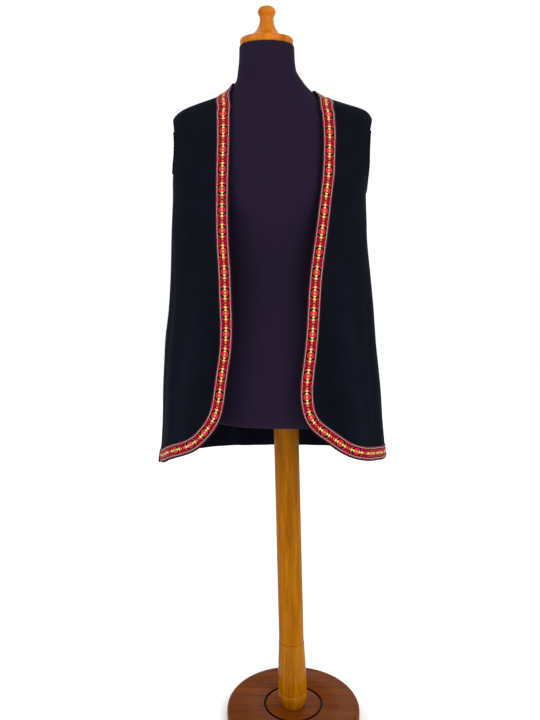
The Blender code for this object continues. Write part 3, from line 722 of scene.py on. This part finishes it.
def make_back_panel(name, nodes):
    """The back, with grid lines at both ends of each shoulder seam."""
    right, left = math.pi / 2, 3 * math.pi / 2
    hole_steps, shoulder, neck_columns = 56, 32, 56
    count = 2 * shoulder + neck_columns
    even = np.linspace(-1, 1, count + 1)
    bottom = spread(back_hem(), (1 + np.sign(even) * (1 - (1 - np.abs(even)) ** BACK_POWER)) / 2)
    tip = plain_vest.at_height(ARMHOLE_TIP_Z)
    start, end = plain_vest.at_height(RIGHT_EDGE[0][1]), plain_vest.at_height(LEFT_EDGE[0][1])
    on_right = seam_line(right, 1, tip, start, shares(shoulder, BACK_POWER))
    on_left = seam_line(left, -1, end, tip, 1 - shares(shoulder, BACK_POWER)[::-1])
    top = np.concatenate([on_right[:-1], spread(back_neck(), shares(neck_columns)), on_left[1:]])
    near = side_line(right, 1, BACK_HEM_Z + BACK_HEM_RISE[1], hole_steps)
    far = side_line(left, -1, BACK_HEM_Z + BACK_HEM_RISE[-1], hole_steps)
    angle, climb = blend(bottom, top, near, far, behind=True)
    make_panel(name, angle, climb, nodes)


def facing(edge, middle):
    """The places on a strip's edge that lie square across from its middle line, ends kept."""
    count, reach = 6 * len(middle), 12
    dense = spread(edge, shares(count))
    spots, wanted = plain_vest.point(*dense.T), plain_vest.point(*middle.T)
    nearest = np.array([np.argmin(((spots - spot) ** 2).sum(axis=1)) for spot in wanted]) / count
    t = np.linspace(0, 1, len(middle))
    fade = 0.06
    nearest -= nearest[0] * soft_step(1 - t / fade) - (1 - nearest[-1]) * soft_step(1 - (1 - t) / fade)
    padded = np.pad(nearest, reach, mode="reflect", reflect_type="odd")
    window = np.full(2 * reach + 1, 1 / (2 * reach + 1))
    return spread(edge, np.clip(np.convolve(padded, window, "valid"), 0, 1))


def make_ribbon(name, path, side, phase, nodes):
    """A woven strip along a free edge. Each cell of the chart is a face with its own yarn colour, and
    the yarns that float over the ground stand a little higher."""
    settings = bpy.context.scene.folk_vest
    outer, inner = (inset(path, RIBBON_MARGIN + share * settings.ribbon_width, side) for share in (0, 1))
    length = (length_of(outer) + length_of(inner)) / 2
    rows = round(length / settings.repeat * PICKS)
    middle = spread(inset(path, RIBBON_MARGIN + settings.ribbon_width / 2, side), shares(rows))
    outer, inner = facing(outer, middle), facing(inner, middle)
    mesh = unit_grid(name, CELLS_ACROSS, rows, skirt=True)
    spot = read_points(mesh)
    u, v, level = spot.T
    i, j = np.rint(u * CELLS_ACROSS).astype(int), np.rint(v * rows).astype(int)

    keys = sorted(YARNS)
    chart = np.array([[keys.index(c) for c in row] for row in RIBBON_CHART])
    colours = np.array([(*srgb(YARNS[k][0]), 1.0) for k in keys])
    heights = np.array([YARNS[k][1] for k in keys])

    def yarn_at(column, row):
        column = np.clip(column, 0, CELLS_ACROSS - 1)
        row = (np.clip(row, 0, rows - 1) + round(phase * PICKS)) % PICKS
        return chart[np.minimum(row, PICKS - row), np.minimum(column, CELLS_ACROSS - 1 - column)]
    float_height = sum(heights[yarn_at(i - a, j - b)] for a in (0, 1) for b in (0, 1)) / 4
    rim = np.minimum(np.minimum(u, 1 - u) * CELLS_ACROSS, 2) / 2
    lift = settings.ribbon_lift * (0.72 + 0.28 * np.sqrt(rim)) + YARN_RISE * float_height
    lift = np.where(level < -0.5, 0.0001, lift)

    angle = (1 - u) * outer[j, 0] + u * inner[j, 0]
    climb = (1 - u) * outer[j, 1] + u * inner[j, 1]
    place = vest.point(angle, climb) + vest.frame(angle, climb)[2] * lift[:, None]

    corners = np.empty(len(mesh.loops), np.int32)
    mesh.loops.foreach_get("vertex_index", corners)
    flat = spot[corners, :2].reshape(-1, 4, 2)
    cell = np.clip((flat.mean(axis=1) * (CELLS_ACROSS, rows)).astype(int), 0, (CELLS_ACROSS - 1, rows - 1))
    woven = colours[yarn_at(cell[:, 0], cell[:, 1])]
    attribute = mesh.color_attributes.new("woven", "FLOAT_COLOR", "CORNER")
    attribute.data.foreach_set("color", np.repeat(woven, 4, axis=0).astype(np.float32).ravel())
    threads = mesh.uv_layers.new(name="threads")
    scale = np.array([settings.ribbon_width, length]) * 100
    threads.data.foreach_set("uv", (flat.reshape(-1, 2) * scale).astype(np.float32).ravel())
    write_points(mesh, place)
    mesh.set_sharp_from_angle(angle=math.radians(55))
    item = add_piece(name, mesh, "Woven viscose ribbon", nodes)
    stitches = make_stitches(name + "_stitches", outer, inner, length)


def make_stitches(name, outer, inner, length):
    """Machine stitches along both edges of a ribbon, each a small pulled-in bead of thread."""
    settings = bpy.context.scene.folk_vest
    count = round(length / settings.stitch)
    places = np.linspace(0.002, 0.998, count)
    marks = np.linspace(0, 1, len(outer))
    bm = bmesh.new()
    for share in (STITCH_LINE, 1 - STITCH_LINE):
        path = (1 - share) * outer + share * inner
        angle, climb = np.interp(places, marks, path[:, 0]), np.interp(places, marks, path[:, 1])
        spots = vest.point(angle, climb)
        normals = vest.frame(angle, climb)[2]
        runs = np.gradient(spots, axis=0)
        runs /= np.linalg.norm(runs, axis=1, keepdims=True)
        for spot, normal, run in zip(spots, normals, runs):
            made = bmesh.ops.create_icosphere(bm, subdivisions=1, radius=1.0)["verts"]
            side = np.cross(normal, run)
            size = (settings.stitch * 0.38, STITCH_WIDTH, STITCH_HEIGHT)
            centre = spot + normal * (settings.ribbon_lift + 0.00006)
            for vert in made:
                x, y, z = vert.co
                vert.co = centre + run * x * size[0] + side * y * size[1] + normal * z * size[2]
    return add_piece(name, take_mesh(name, bm), "Polyester sewing thread", [])


def make_torso(name, nodes):
    """A sphere whose rows are laid on the torso's rings, flat below and above."""
    segments, steps = 144, 170
    foot = [(FORM_BOTTOM_Z + rise, share) for rise, share in (
        (0, 0.3), (0, 0.60), (0, 0.88), (0.0004, 0.940), (0.0018, 0.968), (0.005, 0.988), (0.010, 0.997))]
    crown = [(FORM_TOP_Z - drop, share) for drop, share in (
        (0.0022, 0.992), (0.0006, 0.972), (0, 0.93), (0, 0.5))]
    climbs = np.linspace(form.at_height(FORM_BOTTOM_Z + 0.016), form.at_height(FORM_TOP_Z - 0.006), steps)
    heights = np.array([z for z, _ in foot] + list(form.height(climbs)) + [z for z, _ in crown])
    shrinks = np.array([s for _, s in foot] + [1.0] * len(climbs) + [s for _, s in crown])
    low, high = ([form.at_height(z) for z, _ in end] for end in (foot, crown))
    levels = np.concatenate([low, climbs, high])
    rows = len(heights)
    bm = bmesh.new()
    bmesh.ops.create_uvsphere(bm, u_segments=segments, v_segments=rows + 1, radius=1.0)
    mesh = take_mesh(name, bm)
    ball = read_points(mesh)
    row = np.rint((math.pi - np.arccos(np.clip(ball[:, 2], -1, 1))) / math.pi * (rows + 1)).astype(int)
    pole = (row == 0) | (row == rows + 1)
    k = np.clip(row - 1, 0, rows - 1)
    angle = np.arctan2(ball[:, 0], -ball[:, 1])
    spot = form.point(angle, levels[k])
    z = np.where(row == 0, FORM_BOTTOM_Z, np.where(row == rows + 1, FORM_TOP_Z, heights[k]))
    off = (spot[:, 0] - form_centre(spot[:, 2])) * shrinks[k]
    plate = np.clip(off, -ARM_PLATE, ARM_PLATE)
    ease = soft_step((z - 1.0) / 0.02)
    off = off + (plate - off) * ease
    off, deep = np.where(pole, 0, off), np.where(pole, 0, spot[:, 1] * shrinks[k])
    write_points(mesh, np.stack([form_centre(z) + off, deep, z], axis=1))
    add_piece(name, mesh, "Navy cotton jersey", nodes)


def make_turned(name, profile, material, nodes, lean=True):
    """A turned piece: the profile, from the axis at the top to the axis at the foot, spun round."""
    bm = bmesh.new()
    points = [bm.verts.new((r, 0, z)) for r, z in profile]
    lines = [bm.edges.new(pair) for pair in zip(points, points[1:])]
    bmesh.ops.spin(bm, geom=points + lines, axis=(0, 0, 1), cent=(0, 0, 0), angle=2 * math.pi,
                   steps=bpy.context.scene.dress_form.segments, use_merge=True)
    bmesh.ops.remove_doubles(bm, verts=bm.verts, dist=0.00001)
    bmesh.ops.recalc_face_normals(bm, faces=bm.faces)
    if lean:
        for vert in bm.verts:
            vert.co.x += float(form_centre(vert.co.z))
    mesh = take_mesh(name, bm)
    mesh.set_sharp_from_angle(angle=math.radians(38))
    add_piece(name, mesh, material, nodes)


def smooth_profile(points, steps=6):
    """A rounder profile through the given points (Catmull-Rom), ends kept."""
    spots = np.array(points)
    padded = np.concatenate([spots[:1], spots, spots[-1:]])
    out = []
    for p0, p1, p2, p3 in zip(padded, padded[1:], padded[2:], padded[3:]):
        for k in range(steps):
            t = k / steps
            out.append(0.5 * (2 * p1 + (p2 - p0) * t + (2 * p0 - 5 * p1 + 4 * p2 - p3) * t**2
                              + (3 * p1 - p0 - 3 * p2 + p3) * t**3))
    return [tuple(p) for p in out] + [tuple(spots[-1])]


# Materials

def add_node(tree, kind, inputs=None, **settings):
    """Adds a shader node with its settings. An input is a value, another node's socket, or a node,
    which stands for its first socket."""
    node = tree.nodes.new("ShaderNode" + kind)
    for key, value in settings.items():
        setattr(node, key, value)
    for key, value in (inputs or {}).items():
        if isinstance(value, bpy.types.Node):
            value = value.outputs[0]
        if isinstance(value, bpy.types.NodeSocket):
            tree.links.new(value, node.inputs[key])
        else:
            node.inputs[key].default_value = value
    return node


def new_material(name):
    """Starts a node material, and gives the add-node function bound to its tree."""
    material = bpy.data.materials.new(name)
    material.use_nodes = True
    material.node_tree.nodes.clear()
    return partial(add_node, material.node_tree)


def finish_material(add, **inputs):
    """The surface shader and its output. Names with spaces are given with underscores."""
    shader = add("BsdfPrincipled", {key.replace("_", " "): value for key, value in inputs.items()})
    add("OutputMaterial", {"Surface": shader})


def shaded(base, share):
    """A linear colour times a share, or times a share for each channel, with full alpha."""
    return (*(np.array(base) * share), 1)


def felted_wool():
    """Felted wool cloth: very dark and matt, with a short nap, painted shade that makes the folds' ridges
    lighter and their troughs darker, a fine grain of fibres and a few specks of pale lint."""
    settings = bpy.context.scene.folk_vest
    add = new_material("Felted wool")
    place = add("TexCoord").outputs["Object"]
    cloud = add("TexNoise", {"Vector": place, "Scale": 28.0, "Detail": 3.0, "Roughness": 0.6})
    fibre = add("TexNoise", {"Vector": place, "Scale": 700.0, "Detail": 3.0, "Roughness": 0.7})
    pill = add("TexNoise", {"Vector": place, "Scale": 210.0, "Detail": 2.0, "Roughness": 0.5})
    # Painted shade of the folds: the wool is painted lighter on their ridges and darker in their troughs,
    # from their height
    ridge = add("Attribute", attribute_name="ridge").outputs["Fac"]
    fold_shade = add("MapRange", {"Value": ridge, "From Min": 0.12, "From Max": 0.88, "To Min": 0.1,
                            "To Max": 1.0})
    soft = add("MapRange", {"Value": cloud, "From Min": 0.25, "From Max": 0.75, "To Min": 0.7,
                            "To Max": 1.15})
    grain = add("MapRange", {"Value": fibre, "From Min": 0.3, "From Max": 0.7, "To Min": 0.6,
                             "To Max": 1.3})
    mixed = add("Math", {0: fold_shade, 1: soft}, operation="MULTIPLY")
    shade = add("Math", {0: mixed, 1: grain}, operation="MULTIPLY", use_clamp=True)
    # The plain wool and its painted ridge light, mixed by the painted fold shade and the random tone
    tint = add("Mix", {0: shade, 6: (*settings.wool, 1), 7: (*settings.wool_ridge_light, 1)}, data_type="RGBA")
    speck = add("TexVoronoi", {"Vector": place, "Scale": 15.0, "Randomness": 1.0})
    lint = add("MapRange", {"Value": speck.outputs["Distance"], "From Min": 0.011, "From Max": 0.006})
    lint_soft = add("Math", {0: lint, 1: 0.5}, operation="MULTIPLY")
    final = add("Mix", {0: lint_soft, 6: tint.outputs[2], 7: (*srgb("#8a8f9a"), 1)}, data_type="RGBA")
    nap = add("Bump", {"Height": fibre, "Strength": 0.5, "Distance": 0.0004})
    lumps = add("Bump", {"Height": pill, "Strength": 0.35, "Distance": 0.0008, "Normal": nap})
    finish_material(add, Base_Color=final.outputs[2], Roughness=0.95, Normal=lumps,
                    Specular_IOR_Level=0.02, Sheen_Weight=0.10, Sheen_Roughness=0.28,
                    Sheen_Tint=(*srgb("#6a7090"), 1))


def woven_ribbon():
    """Jacquard ribbon of viscose yarn: each chart cell has its own yarn colour, crossed by fine weft
    ribs half a millimetre apart that catch a soft, silky gloss. The yarn lies a little looser or tighter
    from one pick to the next, which flecks it."""
    add = new_material("Woven viscose ribbon")
    chart = add("Attribute", attribute_name="woven")
    threads = add("UVMap", uv_map="threads")
    rib = add("TexWave", {"Vector": threads, "Scale": 6.5, "Distortion": 0.4, "Detail": 1.0,
                          "Detail Scale": 3.0}, wave_type="BANDS", bands_direction="Y")
    warp = add("TexWave", {"Vector": threads, "Scale": 4.2, "Distortion": 0.3}, wave_type="BANDS",
               bands_direction="X")
    cross = add("Math", {0: rib.outputs[1], 1: warp.outputs[1]}, operation="ADD")
    shade = add("MapRange", {"Value": cross, "From Min": 0.0, "From Max": 2.0, "To Min": 0.74,
                             "To Max": 1.12})
    fleck = add("TexNoise", {"Vector": threads, "Scale": 6.0, "Detail": 3.0})
    tone = add("MapRange", {"Value": fleck, "From Min": 0.3, "From Max": 0.7, "To Min": 0.55,
                            "To Max": 1.35})
    both = add("Math", {0: shade, 1: tone}, operation="MULTIPLY")
    tint = add("VectorMath", {0: chart.outputs["Color"], "Scale": both}, operation="SCALE")
    bump = add("Bump", {"Height": cross, "Strength": 0.6, "Distance": 0.00012})
    finish_material(add, Base_Color=tint, Roughness=0.55, Normal=bump, Specular_IOR_Level=0.06)


def sewing_thread():
    """Spun polyester thread, a twisted strand with a faint gloss."""
    settings = bpy.context.scene.folk_vest
    add = new_material("Polyester sewing thread")
    place = add("TexCoord").outputs["Object"]
    twist = add("TexNoise", {"Vector": place, "Scale": 2500.0, "Detail": 1.0})
    tint = add("Mix", {0: twist, 6: shaded(settings.thread, 0.7), 7: shaded(settings.thread, 1.3)},
               data_type="RGBA")
    bump = add("Bump", {"Height": twist, "Strength": 0.4, "Distance": 0.0001})
    finish_material(add, Base_Color=tint.outputs[2], Roughness=0.5, Normal=bump)


def cotton_jersey():
    """Fine cotton jersey pulled smooth over padding: wales 1.4 mm apart, drawn coarse enough to show,
    with a soft sheen where the surface turns away."""
    settings = bpy.context.scene.dress_form
    add = new_material("Navy cotton jersey")
    place = add("TexCoord").outputs["Object"]
    wales = add("TexWave", {"Vector": place, "Scale": 230.0, "Distortion": 1.6, "Detail": 1.0,
                            "Detail Scale": 2.0}, wave_type="BANDS", bands_direction="X")
    courses = add("TexWave", {"Vector": place, "Scale": 260.0, "Distortion": 1.4}, wave_type="BANDS",
                  bands_direction="Z")
    knit = add("Math", {0: wales.outputs[1], 1: courses.outputs[1]}, operation="MULTIPLY")
    cloud = add("TexNoise", {"Vector": place, "Scale": 18.0, "Detail": 3.0, "Roughness": 0.6})
    mixed = add("Math", {0: knit, 1: cloud}, operation="MULTIPLY")
    shade = add("MapRange", {"Value": mixed, "From Min": -0.2, "From Max": 0.6})
    tint = add("Mix", {0: shade, 6: shaded(settings.jersey, 0.86), 7: shaded(settings.jersey, 1.16)},
               data_type="RGBA")
    bump = add("Bump", {"Height": knit, "Strength": 0.25, "Distance": 0.0002})
    finish_material(add, Base_Color=tint.outputs[2], Roughness=0.88, Normal=bump, Specular_IOR_Level=0.04,
                    Sheen_Weight=0.06, Sheen_Roughness=0.35, Sheen_Tint=(*srgb("#8a7ca0"), 1))


def varnished_wood(name, base, gloss, coat, grain=(1.0, 1.0, 0.07), groove=None):
    """Turned beech, stained and varnished: long grain streaks up a post or across a disc, fine pores,
    and a clear coat whose gloss runs in narrow bands down the turned faces. A groove is painted black."""
    add = new_material(name)
    place = add("TexCoord").outputs["Object"]
    grain_place = add("Mapping", {"Vector": place, "Scale": grain})
    streak = add("TexNoise", {"Vector": grain_place, "Scale": 190.0, "Detail": 5.0, "Roughness": 0.62,
                              "Distortion": 0.35})
    broad = add("TexNoise", {"Vector": grain_place, "Scale": 38.0, "Detail": 2.0})
    pores = add("TexNoise", {"Vector": grain_place, "Scale": 1300.0, "Detail": 1.0})
    mixed = add("Math", {0: streak, 1: broad}, operation="ADD")
    shade = add("MapRange", {"Value": mixed, "From Min": 0.72, "From Max": 1.28})
    tint = add("Mix", {0: shade, 6: shaded(base, (0.62, 0.50, 0.40)), 7: shaded(base, (1.22, 1.25, 1.3))},
               data_type="RGBA")
    pore = add("MapRange", {"Value": pores, "From Min": 0.60, "From Max": 0.72, "To Min": 1.0,
                            "To Max": 0.72})
    toned = add("VectorMath", {0: tint.outputs[2], "Scale": pore}, operation="SCALE")
    if groove:
        level = add("Mapping", {"Vector": place, "Scale": (1.0, 1.0, 0.0)})
        radius = add("VectorMath", {0: level}, operation="LENGTH")
        off = add("Math", {0: radius.outputs["Value"], 1: groove}, operation="SUBTRACT")
        far = add("Math", {0: off}, operation="ABSOLUTE")
        paint = add("MapRange", {"Value": far, "From Min": 0.0020, "From Max": 0.0024, "To Min": 0.03,
                                 "To Max": 1.0})
        toned = add("VectorMath", {0: toned, "Scale": paint}, operation="SCALE")
    rough = add("MapRange", {"Value": streak, "To Min": gloss - 0.05, "To Max": gloss + 0.09})
    bump = add("Bump", {"Height": mixed, "Strength": 0.12, "Distance": 0.0003})
    finish_material(add, Base_Color=toned, Roughness=rough, Normal=bump, Specular_IOR_Level=0.02,
                    Coat_Weight=coat, Coat_Roughness=0.10)


def studio_floor():
    """Matt white paper floor, very faintly uneven."""
    settings = bpy.context.scene.studio
    add = new_material("Matt studio paper")
    place = add("TexCoord").outputs["Object"]
    mottle = add("TexNoise", {"Vector": place, "Scale": 3.0, "Detail": 2.0})
    tint = add("Mix", {0: mottle, 6: (*settings.floor, 1), 7: shaded(settings.floor, 0.98)},
               data_type="RGBA")
    finish_material(add, Base_Color=tint.outputs[2], Roughness=0.9, Specular_IOR_Level=0.1)


# Operators

class VEST_OT_materials(bpy.types.Operator):
    """Makes the wool, ribbon, thread, jersey and wood"""
    bl_idname = "folk_vest.materials"
    bl_label = "Make Materials"

    def execute(self, context):
        felted_wool()
        woven_ribbon()
        sewing_thread()
        cotton_jersey()
        colours = context.scene.dress_form
        varnished_wood("Varnished beech cap", colours.cap_wood, 0.22, 0.22)
        varnished_wood("Varnished beech pole", colours.pole_wood, 0.30, 0.05)
        varnished_wood("Varnished beech foot", colours.pole_wood, 0.24, 0.14)
        varnished_wood("Stained beech base", colours.base_wood, 0.36, 0.03, grain=(0.07, 1.0, 1.0),
                       groove=GROOVE_RADIUS)
        return {"FINISHED"}


class VEST_OT_panels(bpy.types.Operator):
    """Lays the two fronts and the back of felted wool on the form"""
    bl_idname = "folk_vest.panels"
    bl_label = "Make Wool Panels"

    def execute(self, context):
        make_front_panel("wool_front_left", edge_path(LEFT_EDGE, -1), -1, ["vest_front_left"])
        make_front_panel("wool_front_right", edge_path(RIGHT_EDGE, 1), 1, ["vest_front_right"])
        make_back_panel("wool_back", ["vest_back"])
        return {"FINISHED"}


class VEST_OT_ribbons(bpy.types.Operator):
    """Weaves the ribbon and sews it along the free edges"""
    bl_idname = "folk_vest.ribbons"
    bl_label = "Make Ribbons"

    def execute(self, context):
        make_ribbon("ribbon_front_left", edge_path(LEFT_EDGE, -1), -1, LEFT_PHASE, ["trim_front_left"])
        make_ribbon("ribbon_front_right", edge_path(RIGHT_EDGE, 1), 1, RIGHT_PHASE, ["trim_front_right"])
        make_ribbon("ribbon_back_neck", back_neck(), -1, 0.0, ["trim_back_neck"])
        make_ribbon("ribbon_back_hem", back_hem(), 1, 0.0, ["trim_back_hem"])
        return {"FINISHED"}


class VEST_OT_torso(bpy.types.Operator):
    """Makes the jersey-covered torso"""
    bl_idname = "folk_vest.torso"
    bl_label = "Make Torso"

    def execute(self, context):
        make_torso("torso", ["form_torso"])
        return {"FINISHED"}


class VEST_OT_stand(bpy.types.Operator):
    """Turns the neck cap, the pole with its sleeve, and the round base"""
    bl_idname = "folk_vest.stand"
    bl_label = "Make Stand"

    def execute(self, context):
        z = FORM_TOP_Z + GAP
        cap = smooth_profile([(r, z + up) for r, up in (
            (0, 0.0757), (0.0070, 0.0750), (0.0130, 0.0722), (0.0165, 0.0675), (0.0172, 0.0625),
            (0.0155, 0.0575), (0.0137, 0.0540), (0.0136, 0.0480), (0.0150, 0.0400), (0.0190, 0.0310),
            (0.0265, 0.0225), (0.0370, 0.0160), (0.0480, 0.0135))])
        rim = smooth_profile([(r, z + up) for r, up in (
            (0.0483, 0.0126), (0.0505, 0.0116), (0.0515, 0.0085), (0.0512, 0.0035), (0.0500, 0.0006))])
        make_turned("neck_cap", cap + rim + [(0.0492, z), (0, z)], "Varnished beech cap",
                    ["form_neck_cap"])
        top, foot, r = FORM_BOTTOM_Z - GAP, SLEEVE_TOP_Z + GAP, POLE_RADIUS
        pole = [(0, top), (r - 0.0006, top), (r, top - 0.0006)]
        pole += [(r, float(h)) for h in np.linspace(top - 0.02, foot + 0.02, 12)]
        make_turned("pole", pole + [(r, foot + 0.0006), (r - 0.0006, foot), (0, foot)],
                    "Varnished beech pole", ["stand_pole"])
        top, low, r = SLEEVE_TOP_Z, BASE_TOP_Z + GAP, SLEEVE_RADIUS
        sleeve = smooth_profile([(r - off, up) for off, up in (
            (0.0040, top), (0.0034, top - 0.0006), (0.0031, top - 0.0022), (0.0022, 0.130), (0.0012, 0.110),
            (0.0002, 0.075), (0, 0.056))])
        foot = smooth_profile([(r - off, up) for off, up in (
            (0.0022, 0.0528), (0.0014, 0.0518), (0.0006, 0.0500), (0.0001, 0.0470), (0.0002, 0.0430),
            (0.0012, 0.0380), (0.0028, 0.0328), (0.0046, 0.0285), (0.0053, low))])
        make_turned("pole_sleeve", [(0, top)] + sleeve + [(r - 0.0003, 0.0540), (r - 0.0014, 0.0534)] + foot
                    + [(0, low)], "Varnished beech foot", ["stand_sleeve"])
        t, r = BASE_TOP_Z, BASE_RADIUS
        groove = ((0.0028, 0), (0.0022, 0.0004), (0.0019, 0.0012), (0.0017, 0.0026))
        base = [(0, t)] + [(GROOVE_RADIUS - off, t - down) for off, down in groove]
        base += [(GROOVE_RADIUS + off, t - down) for off, down in reversed(groove)]
        base += [(r - 0.030, t), (r - BASE_ROUND, t)]
        base += [(r - BASE_ROUND + BASE_ROUND * math.sin(a), t - BASE_ROUND + BASE_ROUND * math.cos(a))
                 for a in np.radians([12, 25, 38, 50, 62, 75, 85])]
        base += [(r, t - 0.012), (r, 0.0045), (r - 0.0007, 0.0017), (r - 0.0022, 0.0), (0, 0)]
        make_turned("base", base, "Stained beech base", ["stand_base"], lean=False)
        return {"FINISHED"}


class VEST_OT_stage(bpy.types.Operator):
    """Sets the pale floor, the soft lights and the camera"""
    bl_idname = "folk_vest.stage"
    bl_label = "Make Stage"

    def execute(self, context):
        scene, settings = context.scene, context.scene.studio
        bm = bmesh.new()
        bmesh.ops.create_grid(bm, x_segments=1, y_segments=1, size=FLOOR_HALF_WIDTH)
        mesh = take_mesh("studio_floor", bm)
        studio_floor()
        mesh.materials.append(bpy.data.materials["Matt studio paper"])
        floor = bpy.data.objects.new("studio_floor", mesh)
        scene.collection.objects.link(floor)

        world = bpy.data.worlds.new("Studio light")
        scene.world = world
        world.use_nodes = True
        sky = world.node_tree.nodes["Background"]
        sky.inputs[0].default_value = (1.0, 1.0, 1.0, 1)
        sky.inputs[1].default_value = SKY_STRENGTH
        aim = Vector((-0.02, 0, 0.85))
        for name, place, size, power in (
                ("Key", (1.25, -2.3, 2.0), 1.5, settings.key),
                ("Fill", (-2.1, -1.6, 1.3), 1.6, settings.fill),
                ("Rim", (0.6, 2.2, 1.9), 1.2, settings.fill)):
            data = bpy.data.lights.new(name, "AREA")
            data.size, data.energy = size, power
            lamp = bpy.data.objects.new(name, data)
            lamp.location = place
            lamp.rotation_euler = (aim - Vector(place)).to_track_quat("-Z", "Y").to_euler()
            scene.collection.objects.link(lamp)

        data = bpy.data.cameras.new("Camera")
        data.sensor_fit = "VERTICAL"
        data.sensor_width = data.sensor_height = 36
        data.lens = CAMERA_LENS
        data.shift_y = CAMERA_SHIFT
        camera = bpy.data.objects.new("Camera", data)
        camera.location = (CAMERA_X, -settings.distance, settings.eye_height)
        camera.rotation_euler = (math.pi / 2 - CAMERA_TILT, 0, 0)
        scene.collection.objects.link(camera)
        scene.camera = camera
        scene.view_settings.view_transform = "Standard"
        return {"FINISHED"}


class VEST_PT_panel(bpy.types.Panel):
    """Lists the sizes, the colours and the steps"""
    bl_label = "Folk Vest"
    bl_idname = "VEST_PT_panel"
    bl_space_type = "VIEW_3D"
    bl_region_type = "UI"
    bl_category = "Folk Vest"

    def draw(self, context):
        for settings in (context.scene.folk_vest, context.scene.dress_form, context.scene.studio):
            box = self.layout.box()
            for name in settings.bl_rna.properties.keys():
                if name not in {"rna_type", "name"}:
                    box.prop(settings, name)
        for step in STEPS:
            self.layout.operator(step.bl_idname)


SETTINGS = (VestSettings, FormSettings, StageSettings)
STEPS = (VEST_OT_materials, VEST_OT_panels, VEST_OT_ribbons, VEST_OT_torso, VEST_OT_stand, VEST_OT_stage)


def register():
    for kind in (*SETTINGS, *STEPS, VEST_PT_panel):
        bpy.utils.register_class(kind)
    bpy.types.Scene.folk_vest = PointerProperty(type=VestSettings)
    bpy.types.Scene.dress_form = PointerProperty(type=FormSettings)
    bpy.types.Scene.studio = PointerProperty(type=StageSettings)


def unregister():
    del bpy.types.Scene.folk_vest, bpy.types.Scene.dress_form, bpy.types.Scene.studio
    for kind in reversed((*SETTINGS, *STEPS, VEST_PT_panel)):
        bpy.utils.unregister_class(kind)


def main():
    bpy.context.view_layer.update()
    register()
    bpy.ops.folk_vest.materials()
    bpy.ops.folk_vest.panels()
    bpy.ops.folk_vest.ribbons()
    bpy.ops.folk_vest.torso()
    bpy.ops.folk_vest.stand()
    bpy.ops.folk_vest.stage()


if __name__ == "__main__":
    main()
